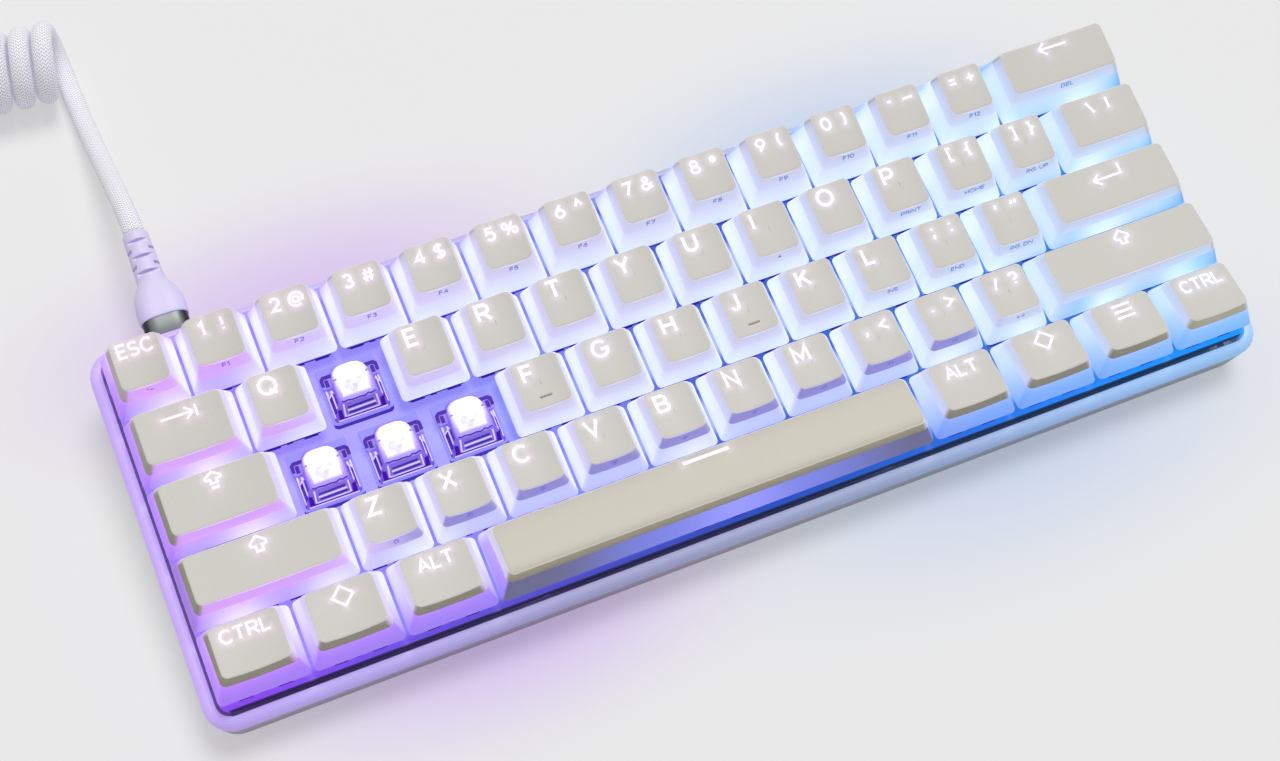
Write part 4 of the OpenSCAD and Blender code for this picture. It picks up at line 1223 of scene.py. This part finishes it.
def between_sections(sections, count):
    """More sections on a soft curve through the given ones."""
    found = []
    last = len(sections) - 1
    for k in range(last):
        near = [sections[min(max(k + d, 0), last)] for d in (-1, 0, 1, 2)]
        for t in (m / count for m in range(count)):
            found.append([
                b + 0.5 * t * (c - a + (2 * a - 5 * b + 4 * c - d) * t + (3 * b - a - 3 * c + d) * t * t)
                for a, b, c, d in zip(*near)])
    return found + [sections[-1]]


def sleeve_radius(s):
    """Outside radius along the sleeve, from the bulb on."""
    if s > SLEEVE - 0.6:
        return 3.4 - 0.4 * (s - SLEEVE + 0.6) / 0.6
    return 3.9 - 0.2 * min(s / 2, 1) - 0.3 * max(0, (s - 2) / (SLEEVE - 2.6))


def add_sleeve(build, start, slot, sides=48, core=2.3):
    """Tapered sleeve with slots on its top and bottom and on its sides in turn."""
    places = {s: None for s in (0.0, 0.7, 13.6, 14.4, 14.75, 15.0)}
    for k in range(5):
        for away in (-0.52, -0.46, 0.46, 0.52):
            places[2.2 + 2.35 * k + away] = k % 2 if abs(away) < 0.5 else None
    rings = []
    for s in sorted(places):
        ring = []
        for a in (2 * math.pi * j / sides for j in range(sides)):
            r = sleeve_radius(s)
            if places[s] is not None:
                along = abs(math.sin(a)) if places[s] == 0 else abs(math.cos(a))
                r = min(r, max(core / max(along, 0.001), core))
            ring.append((PLUG_X + r * math.cos(a), start + s, PLUG_Z - r * math.sin(a)))
        rings.append(ring)
    build.rings(rings, slot)


plug = Build()
add_plug_part(plug, PLUG_START, TONGUE_SECTIONS, IN_TONGUE)
add_plug_part(plug, PLUG_START, COLLAR_SECTIONS, IN_COLLAR)
add_plug_part(plug, BULB_START, [(0, 12.4, 7.8, 3.6)] + between_sections(BULB_SECTIONS, 4), IN_MOULD)
add_sleeve(plug, BULB_START + BULB, IN_MOULD)
# Faint violet glow on the plug: painted light from the key lamps.
MOULD = plain(
    "plug_mould", (0.66, 0.62, 0.76), (0.72, 0.68, 0.82), 0.5, 1600, 0.15, glow=(0.35, 0.20, 1.0), power=0.10)
plug_piece = plug.piece("plug_shell", [collar_shade(), MOULD, STEEL], 0.9)
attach(plug_piece, "base")
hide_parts("device_plug")


# Cord

CORD_D = 5.6
COIL_D = 22.7
COIL_PITCH = 6.35
COIL_TURNS = 16
COIL_RADIUS = (COIL_D - CORD_D) / 2
COIL_TURN = math.radians(5)
COIL_START = Vector((-126.8, 150, COIL_D / 2 + 0.2))
HEADING = Vector((-math.cos(COIL_TURN), math.sin(COIL_TURN), 0))
FAR = Vector((math.sin(COIL_TURN), math.cos(COIL_TURN), 0))
TAIL = 20
CONNECTOR_Z = 7.7
LEAD_STEPS, TURN_STEPS, TAIL_STEPS = 40, 48, 16
PLUG_PULL, COIL_PULL = 14, 26
# Length of a chevron of the braid, columns round the cord and length of one unit of its texture
BRAID_STEP = 0.8
BRAID_COLUMNS = 26
UV_UNIT = 10


def coil_point(t):
    a = 2 * math.pi * t - math.pi / 2
    across = math.cos(a) * FAR + Vector((0, 0, math.sin(a)))
    return COIL_START + HEADING * COIL_PITCH * t + COIL_RADIUS * across


def cord_route():
    """Middle of the cord: a soft lead from the plug, the curls and a tail that settles at the connector."""
    entry = (FAR * 2 * math.pi * COIL_RADIUS + HEADING * COIL_PITCH).normalized()
    first, last = coil_point(0), coil_point(COIL_TURNS)
    end = first - entry * CORD_D
    start = plate_point(PLUG_X, PLUG_END, PLUG_Z) / MM
    pull_1 = start + PLUG_PULL * Vector((0, math.cos(TILT), math.sin(TILT)))
    pull_2 = end - COIL_PULL * entry
    route = []
    for s in (k / LEAD_STEPS for k in range(LEAD_STEPS)):
        r = 1 - s
        route.append(r ** 3 * start + 3 * s * r ** 2 * pull_1 + 3 * s * s * r * pull_2 + s ** 3 * end)
    route += [end.lerp(first, k / 4) for k in range(4)]
    route += [coil_point(k / TURN_STEPS) for k in range(COIL_TURNS * TURN_STEPS + 1)]
    for s in (k / TAIL_STEPS for k in range(1, TAIL_STEPS + 1)):
        lift = (CONNECTOR_Z - last.z) * (3 * s * s - 2 * s ** 3)
        route.append(last + entry * (CORD_D + TAIL) * s + Vector((0, 0, lift)))
    return route


def cord_piece(name, route, radius, sides, shade):
    """Tube along the route with its length and turn as texture coordinates."""
    points, faces, along = [], [], [0.0]
    for a, b in zip(route, route[1:]):
        along.append(along[-1] + (b - a).length)
    last = len(route) - 1
    normal = Vector((1, 0, 0))
    for k, p in enumerate(route):
        t = (route[min(k + 1, last)] - route[max(k - 1, 0)]).normalized()
        normal = (normal - t * normal.dot(t)).normalized()
        side = t.cross(normal)
        for a in (2 * math.pi * j / sides for j in range(sides)):
            points.append((p + radius * (math.cos(a) * normal + math.sin(a) * side)) * MM)
    for k in range(last):
        a, b = k * sides, (k + 1) * sides
        faces += [[a + j, a + (j + 1) % sides, b + (j + 1) % sides, b + j] for j in range(sides)]
    faces += [list(range(sides))[::-1], [last * sides + j for j in range(sides)]]
    mesh = bpy.data.meshes.new(name)
    mesh.from_pydata(points, [], faces)
    layer = mesh.uv_layers.new(name="cord")
    for face in mesh.polygons:
        turns = [mesh.loops[q].vertex_index % sides for q in face.loop_indices]
        for loop in face.loop_indices:
            k, j = divmod(mesh.loops[loop].vertex_index, sides)
            wraps = j == 0 and sides - 1 in turns
            layer.data[loop].uv = (along[k] / UV_UNIT, 1.0 if wraps else j / sides)
    mesh.polygons.foreach_set("use_smooth", [True] * len(mesh.polygons))
    mesh.materials.append(shade.material)
    return add_object(name, mesh), along[-1]


def braid_shade():
    """Herringbone braid: columns of chevrons along the cord, with their relief, painted shade in the crevices
    and painted light on the strands.
    """
    shade = Shade("braid")
    length, turn, _ = shade.place("ShaderNodeUVMap", "UV", uv_map="cord")
    along = shade.times(length, UV_UNIT / BRAID_STEP)
    column = shade.math("PINGPONG", shade.times(turn, BRAID_COLUMNS), 1.0)
    phase = shade.plus(along, shade.times(column, 0.95))
    wave = shade.math("SINE", shade.times(phase, 2 * math.pi))
    strand = shade.math("MULTIPLY_ADD", wave, 0.5, 0.5)
    seam = shade.times(shade.math("ABSOLUTE", shade.minus(column, 0.5)), 2.0)
    height = shade.times(strand, shade.minus(1.0, shade.math("POWER", seam, 6.0)))
    shade.relief(height, 0.6, 0.0002)
    # Darker towards the crevices between strands: painted shade.
    colour = shade.mix(shade.math("POWER", height, 0.6), (0.57, 0.56, 0.62), (0.96, 0.955, 0.975))
    shade.set(base=colour, rough=0.85, sheen=0.15)
    # Painted light from the key lamps, most on the raised strands.
    shade.set(glow=(0.86, 0.83, 1.0), power=shade.times(height, 0.30))
    return shade


route = cord_route()
cord, cord_length = cord_piece("braided_cord", route, CORD_D / 2, 16, braid_shade())
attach(cord, "base")
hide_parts("cord_lead", "cord_curl")


# Floor, light and camera

FLOOR_HALF = 6.0
# Colour that the lamps throw on the floor: place, reach and tint
HALOS = [
    ((-88, 56), 48, (0.71, 0.56, 0.86)),
    ((66, 54), 44, (0.60, 0.68, 0.85)),
    ((-70, -44), 42, (0.70, 0.555, 0.90)),
    ((75, -46), 54, (0.625, 0.70, 0.86)),
]
HALO_STRETCH = Vector((0.45, 1, 1))


def floor_shade():
    """Pale ground with the soft colour that the lamps throw on it."""
    shade = Shade("floor_pale")
    spot = shade.add("ShaderNodeTexCoord", "Object", {})
    narrow = shade.add("ShaderNodeVectorMath", "Vector", {0: spot, 1: HALO_STRETCH}, operation="MULTIPLY")
    colour = (0.83, 0.83, 0.83)
    for (x, y), reach, tint in HALOS:
        middle = (x * MM * HALO_STRETCH.x, y * MM * HALO_STRETCH.y, 0)
        far = shade.add("ShaderNodeVectorMath", "Value", {0: narrow, 1: middle}, operation="DISTANCE")
        colour = shade.mix(shade.span(far, 0.0, reach * MM, 1.0, 0.0), colour, tint)
    shade.set(base=colour, rough=0.95, shine=0.0)
    own = shade.add("ShaderNodeEmission", "Emission", {"Color": colour})
    ray = shade.nodes.new("ShaderNodeLightPath").outputs
    seen = shade.plus(ray["Is Camera Ray"], ray["Is Glossy Ray"])
    seen = shade.math("ADD", seen, ray["Is Transmission Ray"], use_clamp=True)
    share = shade.times(seen, 0.55)
    both = shade.add("ShaderNodeMixShader", "Shader", {0: share, 1: shade.shader.outputs["BSDF"], 2: own})
    shade.put(shade.nodes["Material Output"].inputs["Surface"], both)
    return shade


floor_mesh = bpy.data.meshes.new("floor")
corners = [(x * FLOOR_HALF, y * FLOOR_HALF, 0) for x, y in ((-1, -1), (1, -1), (1, 1), (-1, 1))]
floor_mesh.from_pydata(corners, [], [[0, 1, 2, 3]])
floor_mesh.materials.append(floor_shade().material)
floor = add_object("floor", floor_mesh)
floor.location.z = -0.0002

world = bpy.data.worlds.new("studio")
world.use_nodes = True
world.node_tree.nodes["Background"].inputs["Color"].default_value = (1, 1, 1, 1)
world.node_tree.nodes["Background"].inputs["Strength"].default_value = 0.36
scene.world = world
sun = bpy.data.lights.new("overhead", "SUN")
sun.energy = 2.0
sun.angle = math.radians(28)
lamp = add_object("overhead", sun)
lamp.rotation_euler = Euler((math.radians(-12), math.radians(14), 0))

camera = bpy.data.cameras.new("view")
camera.sensor_width = 36
camera.sensor_fit = "HORIZONTAL"
camera.lens = 56.85
camera.clip_start = 0.01
eye = add_object("view", camera)
eye.location = (-0.132484, -0.204289, 0.486358)
eye.rotation_euler = Euler([math.radians(a) for a in (26.193, -3.558, -22.876)])
scene.camera = eye
scene.view_settings.view_transform = "Standard"
